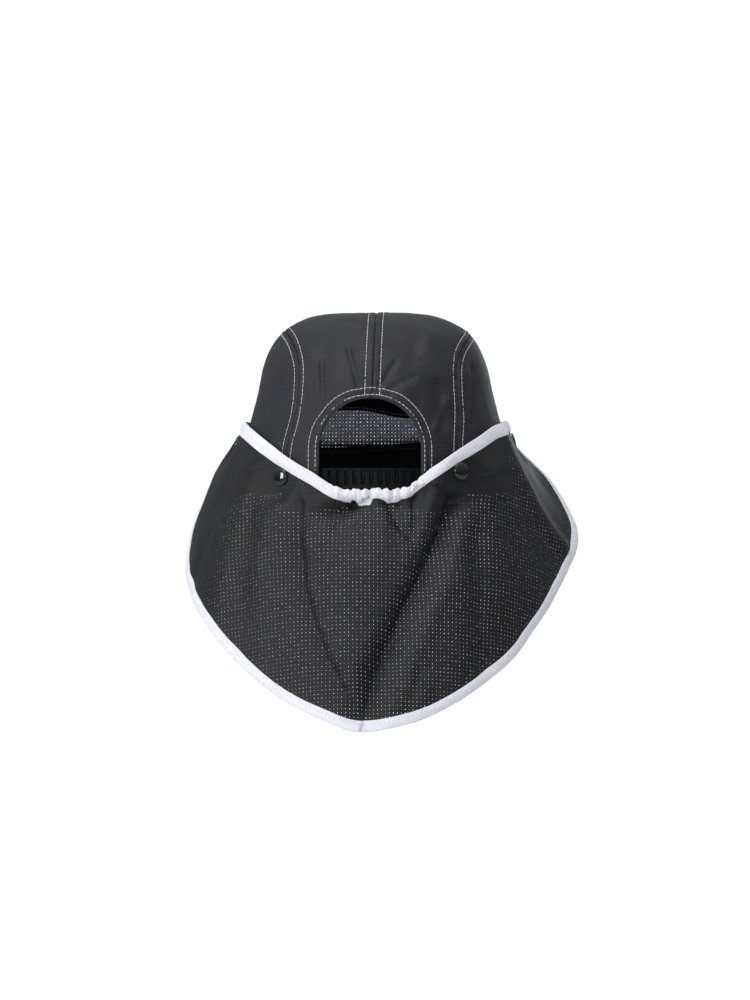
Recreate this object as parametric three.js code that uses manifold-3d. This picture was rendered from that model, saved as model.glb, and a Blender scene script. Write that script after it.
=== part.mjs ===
// Surf cap with a neck flap held by snaps, in millimetres: +Z up, +Y to the peak, +X to the wearer's right.
// The origin is the middle of the head opening, level with the rim, where a head carries the cap.
// Each cloth piece is one layer of a smooth surface, worked out from named sizes and short tables.
import * as THREE from "three";
import { mergeVertices } from "three/addons/utils/BufferGeometryUtils.js";
import Module from "manifold-3d";

const { abs, asin, atan2, cos, exp, max, min, PI, sign, sin } = Math;
const { clamp, degToRad, lerp, radToDeg, smoothstep } = THREE.MathUtils;
const vector = (x, y, z) => new THREE.Vector3(x, y, z);
const wasm = await Module();
wasm.setup();

// Crown: the reach of the rim from the origin, and the height above it.
const RIM_SIDE = 92;
const RIM_BACK = 97;
const RIM_FRONT = 101;
const CROWN_HEIGHT = 120;
const CENTRE_HEIGHT = 30;
const PLAN_POWER = 2.2;
const CLOTH = 1.2;
const GAP = 0.3;

// How each wall closes from the rim to the top. lean is the share of its reach that it loses by leanTop,
// a share of the height, and the two powers say how square its shoulder is.
const WALLS = {
  side: { reach: RIM_SIDE, lean: 0.136, leanTop: 0.62, upPower: 4.5, inPower: 3.5 },
  back: { reach: RIM_BACK, lean: 0.03, leanTop: 0.6, upPower: 3, inPower: 2.4 },
  front: { reach: RIM_FRONT, lean: 0.03, leanTop: 0.6, upPower: 3.6, inPower: 2.6 },
};

// Panels: the front panel's seam, and the seam between the top panels and each side panel, which runs from
// the front panel's corner over the shoulder and down the back. Its places across are shares of RIM_SIDE.
const FRONT_PANEL_HEIGHT = 66;
const FRONT_SEAM_DROOP = 0.04;
const FRONT_CORNER_RIM = 63;
const SHOULDER = 0.5;
const SIDE_SEAM = [
  { along: 0.0, left: 0.63, right: 0.63 },
  { along: 0.2, left: 0.655, right: 0.65 },
  { along: 0.37, left: 0.66, right: 0.67 },
  { along: 0.475, left: 0.632, right: 0.668 },
  { along: 0.635, left: 0.545, right: 0.58 },
  { along: 0.71, left: 0.538, right: 0.575 },
  { along: 0.796, left: 0.56, right: 0.587 },
  { along: 0.88, left: 0.615, right: 0.578 },
  { along: 1.0, left: 0.64, right: 0.588 },
];
// The middle seam's place across, as a share of RIM_SIDE, at its angle round the crown in degrees.
const MIDDLE_SEAM = [
  { around: 0, across: 0 },
  { around: 90, across: 0.01 },
  { around: 135, across: -0.008 },
  { around: 180, across: -0.038 },
];

// Soft dents and ridges of the crown's back half, each from one place to another. across is a share of
// RIM_SIDE, and the rest are shares of CROWN_HEIGHT. A depth below 0 is a dent.
const CROWN_FOLDS = [
  { across: -0.36, up: 0.78, toAcross: -0.39, toUp: 0.44, width: 0.058, depth: -0.013 },
  { across: -0.08, up: 0.54, toAcross: -0.21, toUp: 0.84, width: 0.042, depth: -0.011 },
  { across: 0.2, up: 0.55, toAcross: 0.4, toUp: 0.86, width: 0.067, depth: 0.012 },
  { across: 0.47, up: 0.4, toAcross: 0.44, toUp: 0.56, width: 0.05, depth: -0.018 },
  { across: 0.05, up: 0.88, toAcross: 0.32, toUp: 0.72, width: 0.067, depth: -0.012 },
];

// Opening at the back: an arch over the adjuster strap.
const OPENING_RADIUS = 32.7;
const OPENING_HEIGHT = 61;
const OPENING_SHIFT = -3.5;
const FACING_WIDTH = 7;
const FACING_THICKNESS = 1;

// Sweatband and the tape inside the front seam.
const SWEATBAND_HEIGHT = 34;
const SWEATBAND_THICKNESS = 1.4;
const SWEATBAND_STANDOFF = 1.6;
const SWEATBAND_FOOT = 4;
const SWEATBAND_END = 4;
// The stretch at each end, in degrees, that stands in behind the adjuster strap.
const SWEATBAND_TUCK = 18;
// The share of its length at each end where its columns lie closer together.
const SWEATBAND_FINE = 0.07;
const TAPE_WIDTH = 15;
const TAPE_THICKNESS = 1;
// Room for the flat facets of a curved panel, which fall short of its curve.
const FACET_ROOM = 0.5;

// Adjuster strap: two plastic bands, one with slots and one with pegs that sit in them.
const STRAP_BOTTOM = 3.4;
const STRAP_HEIGHT = 12.4;
const STRAP_THICKNESS = 1.6;
const STRAP_SEWN_END = 14;
const STRAP_FREE_END = 4;
const STRAP_ROUND = 3;
const STRAP_SHIFT = 3.7;
const SLOT_COUNT = 12;
const SLOT_PITCH = 5.4;
const SLOT_WIDTH = 2.2;
const SLOT_HEIGHT = 8.8;
// Shares of a slot's height and depth that a peg fills.
const PEG_HEIGHT = 0.66;
const PEG_REACH = 0.5;

// Peak.
const PEAK_LENGTH = 62;
const PEAK_HALF_WIDTH = 76;
const PEAK_THICKNESS = 3;
const PEAK_CORNER = 62;
const PEAK_SLOPE = 7;
const PEAK_CAMBER = 17;
const PEAK_END = 5;
// The peak's outline turns through this angle each way, with its sides pinched in and its front filled out.
const PEAK_TURN = 86;
const PEAK_PINCH = 0.12;
const PEAK_FULLNESS = 0.8;

// Neck flap: how far its hem stands out past the rim, how far it hangs below it, and its cloth.
const FLAP_FLARE_SIDE = 44;
const FLAP_FLARE_BACK = 53;
const FLAP_DROP = 148;
const FLAP_CLOTH = 1;
const FLAP_STANDOFF = 3.2;
const FLAP_BELLY = 4;
const TOP_BINDING_WIDTH = 7.2;
const HEM_BINDING_WIDTH = 6.2;
const BINDING_THICKNESS = 0.8;
const BINDING_FOLD = 1.1;
// Sections of the flap from the left front end round the back to the right. around is in degrees from the
// middle of the back. top is the top edge's height as a share of CROWN_HEIGHT. across, back and down place
// the hem, as shares of the flared reaches and of FLAP_DROP, and belly is a share of FLAP_BELLY.
const FLAP_SECTIONS = [
  { around: -108, top: 0.39, across: -0.69, back: -0.205, down: -0.216, belly: 0 },
  { around: -100, top: 0.391, across: -0.805, back: -0.17, down: -0.06, belly: 0.5 },
  { around: -90, top: 0.388, across: -0.89, back: -0.08, down: 0.135, belly: 0.8 },
  { around: -78, top: 0.371, across: -0.917, back: 0.067, down: 0.297, belly: 1 },
  { around: -64, top: 0.333, across: -0.894, back: 0.28, down: 0.412, belly: 1 },
  { around: -50, top: 0.271, across: -0.82, back: 0.493, down: 0.527, belly: 0.9 },
  { around: -36, top: 0.188, across: -0.652, back: 0.7, down: 0.709, belly: 0.8 },
  { around: -24, top: 0.108, across: -0.422, back: 0.853, down: 0.868, belly: 0.8 },
  { around: -12, top: 0.018, across: -0.223, back: 0.953, down: 0.951, belly: 0.8 },
  { around: 0, top: 0.014, across: -0.077, back: 1, down: 0.994, belly: 0.8 },
  { around: 10, top: 0.022, across: 0.09, back: 0.98, down: 0.974, belly: 0.8 },
  { around: 20, top: 0.123, across: 0.262, back: 0.927, down: 0.926, belly: 0.8 },
  { around: 32, top: 0.216, across: 0.463, back: 0.827, down: 0.824, belly: 0.8 },
  { around: 46, top: 0.292, across: 0.65, back: 0.667, down: 0.689, belly: 0.9 },
  { around: 60, top: 0.354, across: 0.803, back: 0.467, down: 0.514, belly: 0.9 },
  { around: 75, top: 0.384, across: 0.928, back: 0.233, down: 0.324, belly: 0.3 },
  { around: 90, top: 0.391, across: 0.985, back: 0.033, down: 0.169, belly: -0.9 },
  { around: 100, top: 0.391, across: 0.88, back: -0.11, down: -0.03, belly: -0.8 },
  { around: 108, top: 0.39, across: 0.69, back: -0.205, down: -0.216, belly: 0 },
];
// Folds of the flap: each runs from one place through a bend to another, given as degrees round and as a
// share of the way down. width is a share of FLAP_DROP, and so is depth, at its start and at its end. A depth
// below 0 is a valley.
const FLAP_FOLDS = [
  { from: [-29, 0.14], bend: [-22, 0.58], to: [-2, 0.95], width: 0.04, depth: [-0.02, -0.02] },
  { from: [-20, 0.2], bend: [-13, 0.55], to: [-2, 0.85], width: 0.088, depth: [0.02, 0.02] },
  { from: [35, 0.13], bend: [11, 0.32], to: [0, 0.97], width: 0.068, depth: [-0.061, -0.041] },
  { from: [36, 0.32], bend: [22, 0.5], to: [8, 0.96], width: 0.081, depth: [0.034, 0.02] },
  { from: [38, 0.4], bend: [30, 0.62], to: [15, 0.97], width: 0.061, depth: [-0.034, -0.027] },
  { from: [-9, 0.06], bend: [-15, 0.1], to: [-23, 0.2], width: 0.034, depth: [-0.041, -0.014] },
  { from: [9, 0.07], bend: [10, 0.1], to: [11, 0.17], width: 0.034, depth: [-0.027, -0.007] },
  { from: [-44, 0.24], bend: [-38, 0.5], to: [-36, 0.9], width: 0.095, depth: [-0.027, -0.02] },
  { from: [68, 0.05], bend: [64, 0.3], to: [76, 0.85], width: 0.061, depth: [0.017, 0.027] },
];
// The elastic gathers the top edge between these angles, in waves. depth is a share of FLAP_DROP, and fade is
// the share of the way down at which the waves have mostly gone.
const GATHER = { from: -17, to: 19, waves: 4, depth: 0.01, fade: 0.1 };

// Snaps: each cap on the flap takes a stud on the crown. around is in degrees, up a share of CROWN_HEIGHT.
const SNAPS = [
  { name: "back_left", around: -37, up: 0.081 },
  { name: "back_right", around: 32.5, up: 0.113 },
  { name: "side_left", around: -88, up: 0.262 },
  { name: "side_right", around: 88, up: 0.28 },
];
const CAP_RADIUS = 5.5;
const CAP_HEIGHT = 2;
const SOCKET_RADIUS = 5;
const SOCKET_HEIGHT = 1.9;
const STUD_RADIUS = 4.7;
const STUD_PLATE = 0.8;
const STUD_BACK_RADIUS = 4.2;
const STUD_GAP = 0.6;
const STUD_HEAD_RADIUS = 2.1;
const STUD_HEAD_HEIGHT = 1.5;
const SNAP_POST_RADIUS = 1.6;
const SEAT_FLAT = 9.5;
const SEAT_FADE = 21;
// The cap's dome runs through these shares of its radius and height.
const CAP_DOME = [
  { radius: 0.94, height: 0.45 },
  { radius: 0.6, height: 0.88 },
];
const CAP_SIDES = 14;
const STUD_SIDES = 10;

// Finishes.
const finish = (color, roughness, metalness = 0) =>
  new THREE.MeshStandardMaterial({ color, roughness, metalness });
const RIPSTOP = finish(0x3e3e43, 0.75);
const DARK_CLOTH = finish(0x0b0b0c, 0.9);
const WHITE_BINDING = finish(0xecedf6, 0.8);
const PLASTIC = finish(0x17191b, 0.35);
const SNAP_METAL = finish(0x0c1012, 0.12, 0.2);

// Reads one column of a table at any place between its rows, on a smooth curve through them.
function readTable(rows, key, at, column) {
  const last = rows.length - 1;
  const found = rows.findIndex((row, i) => i > 0 && at <= row[key]);
  const i = found < 0 ? last : found;
  const [before, after] = [rows[i - 1], rows[i]];
  const slope = (k) => {
    const [a, b] = [rows[max(k - 1, 0)], rows[min(k + 1, last)]];
    return (b[column] - a[column]) / (b[key] - a[key]);
  };
  const span = after[key] - before[key];
  const k = clamp((at - before[key]) / span, 0, 1);
  const [k2, k3] = [k * k, k * k * k];
  return (
    (2 * k3 - 3 * k2 + 1) * before[column] +
    (k3 - 2 * k2 + k) * span * slope(i - 1) +
    (3 * k2 - 2 * k3) * after[column] +
    (k3 - k2) * span * slope(i)
  );
}

// The crown's surface

// How far a wall stands from the middle at a height.
function wallReach(wall, z) {
  const up = clamp(z / CROWN_HEIGHT, 0, 1);
  const leaning = smoothstep(up, 0, wall.leanTop);
  return wall.reach * (1 - wall.lean * leaning) * max(1 - up ** wall.upPower, 0) ** (1 / wall.inPower);
}

// How far forward or back the crown's outside is at a place across and a height. facing is 1 for the front.
function wallDepth(x, z, facing) {
  const side = wallReach(WALLS.side, z);
  const end = wallReach(facing > 0 ? WALLS.front : WALLS.back, z);
  return facing * end * max(1 - (abs(x) / side) ** PLAN_POWER, 0) ** (1 / PLAN_POWER);
}

// A point of the level ring round the crown, at an angle in degrees from the middle of the back.
function ringPoint(around, z, out = 0) {
  const [s, c] = [sin(degToRad(around)), cos(degToRad(around))];
  const side = wallReach(WALLS.side, z) + out;
  const end = wallReach(c < 0 ? WALLS.front : WALLS.back, z) + out;
  const power = 2 / PLAN_POWER;
  return vector(side * sign(s) * abs(s) ** power, -end * sign(c) * abs(c) ** power, z);
}

function insideCrown(point) {
  if (point.z >= CROWN_HEIGHT) return false;
  const side = wallReach(WALLS.side, point.z);
  const end = wallReach(point.y < 0 ? WALLS.back : WALLS.front, point.z);
  return (abs(point.x) / side) ** PLAN_POWER + (abs(point.y) / end) ** PLAN_POWER < 1;
}

// Where a line from a point inside the crown comes out of it.
const HALVINGS = 40;
function crownAlong(from, direction) {
  let [near, far] = [0, 2 * (CROWN_HEIGHT + RIM_FRONT)];
  const unit = direction.clone().normalize();
  for (let i = 0; i < HALVINGS; i++) {
    const middle = (near + far) / 2;
    if (insideCrown(from.clone().addScaledVector(unit, middle))) near = middle;
    else far = middle;
  }
  return from.clone().addScaledVector(unit, near);
}

// How much the crown's folds lift or dent it at a point.
const foldEnds = CROWN_FOLDS.map((fold) => {
  const end = (across, up) => {
    const [x, z] = [across * RIM_SIDE, up * CROWN_HEIGHT];
    return vector(x, wallDepth(x, z, -1), z);
  };
  return new THREE.Line3(end(fold.across, fold.up), end(fold.toAcross, fold.toUp));
});
const nearest = vector(0, 0, 0);
function crownFolding(point) {
  return CROWN_FOLDS.reduce((sum, fold, i) => {
    foldEnds[i].closestPointToPoint(point, true, nearest);
    const away = nearest.distanceTo(point) / CROWN_HEIGHT;
    return sum + fold.depth * CROWN_HEIGHT * exp(-((away / fold.width) ** 2));
  }, 0);
}

// Where each snap sits on the crown, and the way that it faces.
const snapFrames = SNAPS.map(({ around, up }) => {
  const z = up * CROWN_HEIGHT;
  const along = ringPoint(around + 1, z).sub(ringPoint(around - 1, z));
  const rise = ringPoint(around, z + 1).sub(ringPoint(around, z - 1));
  return { centre: ringPoint(around, z), axis: along.cross(rise).normalize() };
});

// Presses a point of a cloth onto the flat seats round the snaps, at a height over the crown.
function seated(point, seat, flat, fade) {
  const moved = point.clone();
  for (const { centre, axis } of snapFrames) {
    const from = point.clone().sub(centre);
    const height = from.dot(axis);
    const away = from.addScaledVector(axis, -height).length();
    if (abs(height) < fade) moved.addScaledVector(axis, (seat - height) * (1 - smoothstep(away, flat, fade)));
  }
  return moved;
}

function folded(point) {
  const out = vector(point.x, point.y, point.z - CENTRE_HEIGHT).normalize();
  return seated(point.clone().addScaledVector(out, crownFolding(point)), 0, STUD_RADIUS, 2 * STUD_RADIUS);
}

// The crown at a place across and an angle round it in degrees: 0 is forward, 90 up and 180 back.
function crownAt(across, around) {
  const direction = vector(0, cos(degToRad(around)), sin(degToRad(around)));
  return folded(crownAlong(vector(across, 0, CENTRE_HEIGHT), direction));
}

const aroundAt = (x, z, facing) => {
  const angle = radToDeg(atan2(z - CENTRE_HEIGHT, wallDepth(x, z, facing)));
  return angle < -90 ? angle + 360 : angle;
};
const backAt = (x, z) => folded(vector(x, wallDepth(x, z, -1), z));

// The way out of the crown at a point of it.
const NUDGE = 1e-3;
function crownNormal(point) {
  const inner = point.clone();
  inner.z = min(point.z, CROWN_HEIGHT * (1 - NUDGE));
  const fill = (axis, step) => {
    const at = inner.clone();
    at[axis] += step;
    const side = wallReach(WALLS.side, at.z);
    const end = wallReach(at.y < 0 ? WALLS.back : WALLS.front, at.z);
    return (abs(at.x) / side) ** PLAN_POWER + (abs(at.y) / end) ** PLAN_POWER;
  };
  const slope = (axis) => fill(axis, NUDGE) - fill(axis, -NUDGE);
  return vector(slope("x"), slope("y"), slope("z")).normalize();
}

// Solids from surfaces

function normalAt(surface, u, v) {
  const [u0, u1, v0, v1] = [max(u - NUDGE, 0), min(u + NUDGE, 1), max(v - NUDGE, 0), min(v + NUDGE, 1)];
  const along = surface(u1, v).sub(surface(u0, v));
  const down = surface(u, v1).sub(surface(u, v0));
  return along.cross(down).normalize();
}

// Splits a four-sided face along its shorter diagonal.
function splitFace(points, a, b, c, d) {
  const acrossA = points[a].distanceTo(points[c]) <= points[b].distanceTo(points[d]);
  return acrossA ? [a, b, c, a, c, d] : [a, b, d, b, c, d];
}

// Each ring goes out along a strip's one side and back along the other. The first and the last are capped.
function solidFromRings(rings) {
  const size = rings[0].length;
  const points = rings.flat();
  const index = [];
  for (let i = 0; i + 1 < rings.length; i++)
    for (let j = 0; j < size; j++) {
      const [a, b] = [i * size + j, i * size + ((j + 1) % size)];
      index.push(...splitFace(points, a, b, b + size, a + size));
    }
  const last = points.length - size;
  for (let k = 0; k + 1 < size / 2; k++) {
    const [a, b, c, d] = [k, k + 1, size - 2 - k, size - 1 - k];
    index.push(...splitFace(points, d, c, b, a));
    index.push(...splitFace(points, last + a, last + b, last + c, last + d));
  }
  return facesOut(points, index);
}

function facesOut(points, index) {
  let volume = 0;
  for (let i = 0; i < index.length; i += 3) {
    const [a, b, c] = [points[index[i]], points[index[i + 1]], points[index[i + 2]]];
    volume += a.dot(b.clone().cross(c));
  }
  if (volume < 0) index.reverse();
  const geometry = new THREE.BufferGeometry();
  const places = points.flatMap((point) => point.toArray());
  geometry.setAttribute("position", new THREE.Float32BufferAttribute(places, 3));
  geometry.setIndex(index);
  return geometry;
}

// A closed layer of a surface, between two distances along its normal. us and vs are its grid's parameters.
function layer(surface, normal, us, vs, outer, inner) {
  const side = (distance) =>
    us.flatMap((u) => vs.map((v) => surface(u, v).addScaledVector(normal(u, v), distance)));
  const points = [...side(outer), ...side(inner)];
  const [rows, count] = [vs.length, us.length * vs.length];
  const index = [];
  const quad = (a, b, c, d) => index.push(...splitFace(points, a, b, c, d));
  for (let i = 0; i + 1 < us.length; i++)
    for (let j = 0; j + 1 < rows; j++) {
      const a = i * rows + j;
      quad(a, a + rows, a + rows + 1, a + 1);
      quad(count + a, count + a + 1, count + a + rows + 1, count + a + rows);
    }
  const wall = (a, b) => quad(b, b + count, a + count, a);
  for (let i = 0; i + 1 < us.length; i++) {
    wall((i + 1) * rows, i * rows);
    wall(i * rows + rows - 1, (i + 1) * rows + rows - 1);
  }
  for (let j = 0; j + 1 < rows; j++) {
    wall(j, j + 1);
    wall((us.length - 1) * rows + j + 1, (us.length - 1) * rows + j);
  }
  return facesOut(points, index);
}

const onCrown = (surface) => (u, v) => crownNormal(surface(u, v));
const steps = (count, from = 0, to = 1) =>
  Array.from({ length: count + 1 }, (_, i) => lerp(from, to, i / count));

// Geometry to a solid for cutting and joining, and back.
function toSolid(geometry) {
  const plain = new THREE.BufferGeometry().setAttribute("position", geometry.getAttribute("position"));
  if (geometry.index) plain.setIndex(geometry.index);
  const merged = mergeVertices(plain, 1e-4);
  return new wasm.Manifold(
    new wasm.Mesh({
      numProp: 3,
      vertProperties: new Float32Array(merged.attributes.position.array),
      triVerts: new Uint32Array(merged.index.array),
    }),
  );
}

function toGeometry(solid) {
  const mesh = solid.getMesh();
  const geometry = new THREE.BufferGeometry();
  geometry.setAttribute("position", new THREE.BufferAttribute(mesh.vertProperties, 3));
  return geometry.setIndex(new THREE.BufferAttribute(mesh.triVerts, 1));
}

// Seams

const openingSpring = OPENING_HEIGHT - OPENING_RADIUS;
const FRONT_CORNER = SIDE_SEAM[0].left * RIM_SIDE;
const frontSeamHeight = (x) => FRONT_PANEL_HEIGHT * (1 - FRONT_SEAM_DROOP * (x / FRONT_CORNER) ** 2);
const seamRow = (hand) => (hand < 0 ? "left" : "right");
const middleSeam = (around) => RIM_SIDE * readTable(MIDDLE_SEAM, "around", around, "across");

// The seam beside a top panel, from the front corner at 0 to the back rim at 1, as across and around.
function sideSeam(along, hand, inset) {
  const column = seamRow(hand);
  const rimX = RIM_SIDE * SIDE_SEAM.at(-1)[column];
  const from = aroundAt(FRONT_CORNER, frontSeamHeight(FRONT_CORNER), 1);
  const around = lerp(from, aroundAt(rimX, 0, -1), along);
  return { across: hand * (RIM_SIDE * readTable(SIDE_SEAM, "along", along, column) - inset), around };
}

// The inner edge of a top panel: the middle seam, then one half of the opening down to the rim.
const ARCH_TOP = 0.66;
const ARCH_SPRING = 0.9;
function openingEdge(down, hand, out = 0) {
  // down is 0 at the top of the arch, 1 where it turns straight and 2 at the rim.
  const angle = degToRad(90 * (1 - min(down, 1)));
  const radius = OPENING_RADIUS + out;
  const z = down < 1 ? openingSpring + radius * sin(angle) : openingSpring * (2 - down);
  return { x: OPENING_SHIFT + hand * radius * cos(angle), z };
}
function innerEdge(along, hand, inset) {
  if (along < ARCH_TOP) {
    const top = aroundAt(OPENING_SHIFT, OPENING_HEIGHT, -1);
    const from = aroundAt(0, FRONT_PANEL_HEIGHT, 1);
    const around = lerp(from, top, along / ARCH_TOP);
    return { across: middleSeam(around) + hand * inset, around };
  }
  const down =
    along < ARCH_SPRING
      ? (along - ARCH_TOP) / (ARCH_SPRING - ARCH_TOP)
      : 1 + (along - ARCH_SPRING) / (1 - ARCH_SPRING);
  const { x, z } = openingEdge(down, hand);
  const across = hand * max(hand * x, hand * middleSeam(180) + inset);
  return { across, around: aroundAt(across, z, -1) };
}

// Crown panels

const OVER_STEPS = steps(10, 0, SHOULDER);
const DOWN_STEPS = [
  ...steps(2, SHOULDER, ARCH_TOP),
  ...steps(6, ARCH_TOP, ARCH_SPRING).slice(1),
  ...steps(2, ARCH_SPRING, 1).slice(1),
];
const PANEL_COLUMNS = steps(5);
const FRONT_COLUMNS = steps(10);
const seamInset = GAP / 2;
const frontGapAngle = radToDeg(seamInset / RIM_FRONT);

// A top panel is drawn between its inner and outer edges. bow bends its front edge along the front seam.
function topPanel(hand) {
  const between = (u, v) => {
    const [inner, outer] = [innerEdge(v, hand, seamInset), sideSeam(v, hand, seamInset)];
    return { across: lerp(inner.across, outer.across, u), around: lerp(inner.around, outer.around, u) };
  };
  const surface = (u, v) => {
    const [here, front] = [between(u, v), between(u, 0)];
    const bow = aroundAt(front.across, frontSeamHeight(front.across), 1) + frontGapAngle - front.around;
    return crownAt(here.across, here.around + bow * max(1 - v / ARCH_TOP, 0) ** 2);
  };
  const rows = [...OVER_STEPS, ...DOWN_STEPS.slice(1)];
  return layer(surface, onCrown(surface), PANEL_COLUMNS, rows, 0, -CLOTH);
}

// The front panel's side edge, from the rim at 0 to its top corner at 1.
function frontEdge(up, hand, inset) {
  const corner = sideSeam(0, hand, 0);
  const x = hand * (lerp(FRONT_CORNER_RIM, FRONT_CORNER, up) + inset);
  const from = aroundAt(x, 0, 1);
  return crownAt(x, lerp(from, corner.around, up));
}

function frontPanel() {
  const surface = (u, v) => {
    const wide = lerp(FRONT_CORNER, FRONT_CORNER_RIM, v) - seamInset;
    const x = wide * (2 * u - 1);
    const top = aroundAt(x, frontSeamHeight(x), 1) - frontGapAngle;
    return crownAt(x, lerp(top, aroundAt(x, 0, 1), v));
  };
  return layer(surface, onCrown(surface), FRONT_COLUMNS, steps(DOWN_STEPS.length - 1), 0, -CLOTH);
}

// The ring's angle that gives a point on the rim.
function ringAngle(point) {
  const power = PLAN_POWER / 2;
  const end = point.y < 0 ? RIM_BACK : RIM_FRONT;
  const [across, forward] = [abs(point.x) / RIM_SIDE, abs(point.y) / end];
  return radToDeg(atan2(across ** power, -sign(point.y) * forward ** power));
}

// A side panel fills the four curves round it, and is drawn out onto the crown.
function sidePanel(hand) {
  const seam = (along) => {
    const { across, around } = sideSeam(along, hand, -seamInset);
    return crownAt(across, around);
  };
  const [frontAngle, backAngle] = [ringAngle(frontEdge(0, hand, seamInset)), ringAngle(seam(1))];
  const bottom = (u) => folded(ringPoint(hand * lerp(frontAngle, backAngle, u), 0));
  const top = (u) => seam(u * SHOULDER);
  const front = (v) => frontEdge(v, hand, seamInset);
  const back = (v) => seam(lerp(1, SHOULDER, v));
  const corners = [bottom(0), bottom(1), top(0), top(1)];
  const surface = (u, v) => {
    const point = bottom(u).multiplyScalar(1 - v).addScaledVector(top(u), v);
    point.addScaledVector(front(v), 1 - u).addScaledVector(back(v), u);
    point.addScaledVector(corners[0], -(1 - u) * (1 - v)).addScaledVector(corners[1], -u * (1 - v));
    point.addScaledVector(corners[2], -(1 - u) * v).addScaledVector(corners[3], -u * v);
    const centre = vector(0, 0, CENTRE_HEIGHT);
    return folded(crownAlong(centre, point.sub(centre)));
  };
  const vs = DOWN_STEPS.map((along) => (1 - along) / (1 - SHOULDER)).reverse();
  const us = OVER_STEPS.map((along) => along / SHOULDER);
  return layer(surface, onCrown(surface), us, vs, 0, -CLOTH);
}

// Inside of the crown

const lining = CLOTH + GAP;
const ACROSS_BAND = steps(2);
const FACING_COLUMNS = steps(18);
const TAPE_COLUMNS = steps(12);
const SWEATBAND_COLUMNS = [
  ...steps(6, 0, SWEATBAND_FINE),
  ...steps(28, SWEATBAND_FINE, 1 - SWEATBAND_FINE).slice(1),
  ...steps(6, 1 - SWEATBAND_FINE, 1).slice(1),
];

function openingFacing() {
  // It stops above the adjuster strap, whose ends lie behind the same panels.
  const foot = STRAP_BOTTOM + STRAP_HEIGHT + 2 * GAP;
  const depth = lining + FACET_ROOM;
  const lowest = 2 - foot / openingSpring;
  const surface = (u, v) => {
    const hand = u < 0.5 ? -1 : 1;
    const down = abs(2 * u - 1) * lowest;
    const { x, z } = openingEdge(down, hand, FACING_WIDTH * v);
    return backAt(x, z);
  };
  return layer(surface, onCrown(surface), FACING_COLUMNS, ACROSS_BAND, -depth, -depth - FACING_THICKNESS);
}

function sweatband() {
  // Its ends reach the sides of the opening, and stand in there to clear the adjuster strap.
  const strapDepth = lining + 2 * STRAP_THICKNESS + 3 * GAP + FACET_ROOM;
  const endAngle = (hand) => {
    const x = OPENING_SHIFT + hand * (OPENING_RADIUS + SWEATBAND_END);
    return radToDeg(asin((abs(x) / RIM_SIDE) ** (PLAN_POWER / 2)));
  };
  const [from, to] = [endAngle(1), 360 - endAngle(-1)];
  const inset = (around, z) => {
    const fromEnd = min(around - from, to - around);
    const foot = z < SWEATBAND_FOOT / 2 ? lining + GAP : CLOTH + SWEATBAND_STANDOFF;
    return lerp(strapDepth, foot, smoothstep(fromEnd, SWEATBAND_TUCK / 2, SWEATBAND_TUCK));
  };
  const heights = [0, SWEATBAND_FOOT, SWEATBAND_HEIGHT];
  const surface = (u, v) => {
    const around = lerp(from, to, u);
    const part = clamp(v, 0, 1) * 2;
    const z = part < 1 ? lerp(heights[0], heights[1], part) : lerp(heights[1], heights[2], part - 1);
    const foot = inset(around, 0);
    const wall = inset(around, SWEATBAND_HEIGHT);
    return ringPoint(around, z, -lerp(foot, wall, min(part, 1)));
  };
  return layer(surface, onCrown(surface), SWEATBAND_COLUMNS, ACROSS_BAND, 0, -SWEATBAND_THICKNESS);
}

function frontSeamTape() {
  const reach = FRONT_CORNER - TAPE_THICKNESS;
  const half = radToDeg(TAPE_WIDTH / 2 / RIM_FRONT);
  const depth = lining + FACET_ROOM;
  const surface = (u, v) => {
    const x = reach * (2 * u - 1);
    return crownAt(x, aroundAt(x, frontSeamHeight(x), 1) + half * (1 - 2 * v));
  };
  return layer(surface, onCrown(surface), TAPE_COLUMNS, ACROSS_BAND, -depth, -depth - TAPE_THICKNESS);
}

// Adjuster strap

// Each band is bent round the back at a depth inside it. Its grid runs across, and up from its lower edge.
function strapPoint(x, z, inset) {
  const top = STRAP_BOTTOM + STRAP_HEIGHT;
  const [side, end] = [wallReach(WALLS.side, top) - inset, wallReach(WALLS.back, top) - inset];
  return vector(x, -end * (1 - (abs(x) / side) ** PLAN_POWER) ** (1 / PLAN_POWER), z);
}
const strapNormal = (x) => {
  const along = strapPoint(x + NUDGE, 0, 0).sub(strapPoint(x - NUDGE, 0, 0));
  return vector(along.y, -along.x, 0).normalize();
};

const strapMiddle = OPENING_SHIFT + STRAP_SHIFT;
const strapReach = ((SLOT_COUNT - 1) / 2) * SLOT_PITCH + STRAP_FREE_END;
const sewnReach = OPENING_RADIUS + STRAP_SEWN_END;
const slotPlaces = steps(SLOT_COUNT - 1).map((k) => strapMiddle + (k - 0.5) * (SLOT_COUNT - 1) * SLOT_PITCH);

// Columns of a band: at these shares of its round corner, and then in equal steps to the sewn end.
const CORNER_SHARES = [0, 0.1, 0.4];
const STRAP_COLUMNS = 14;

// hand is the side that the band is sewn to. Its other end is free and has round corners.
function strapBand(hand, inset) {
  const [free, sewn] = [strapMiddle - hand * strapReach, OPENING_SHIFT + hand * sewnReach];
  const surface = (u, v) => {
    const x = lerp(free, sewn, u);
    const corner = STRAP_ROUND - min(abs(x - free), STRAP_ROUND);
    const cut = STRAP_ROUND - (STRAP_ROUND ** 2 - corner ** 2) ** 0.5;
    return strapPoint(x, STRAP_BOTTOM + lerp(cut, STRAP_HEIGHT - cut, v), inset);
  };
  const normal = (u) => strapNormal(lerp(free, sewn, u));
  const rounding = STRAP_ROUND / abs(sewn - free);
  const us = [...CORNER_SHARES.map((share) => rounding * share), ...steps(STRAP_COLUMNS, rounding, 1)];
  return toSolid(layer(surface, normal, us, [0, 1], 0, -STRAP_THICKNESS));
}

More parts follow.
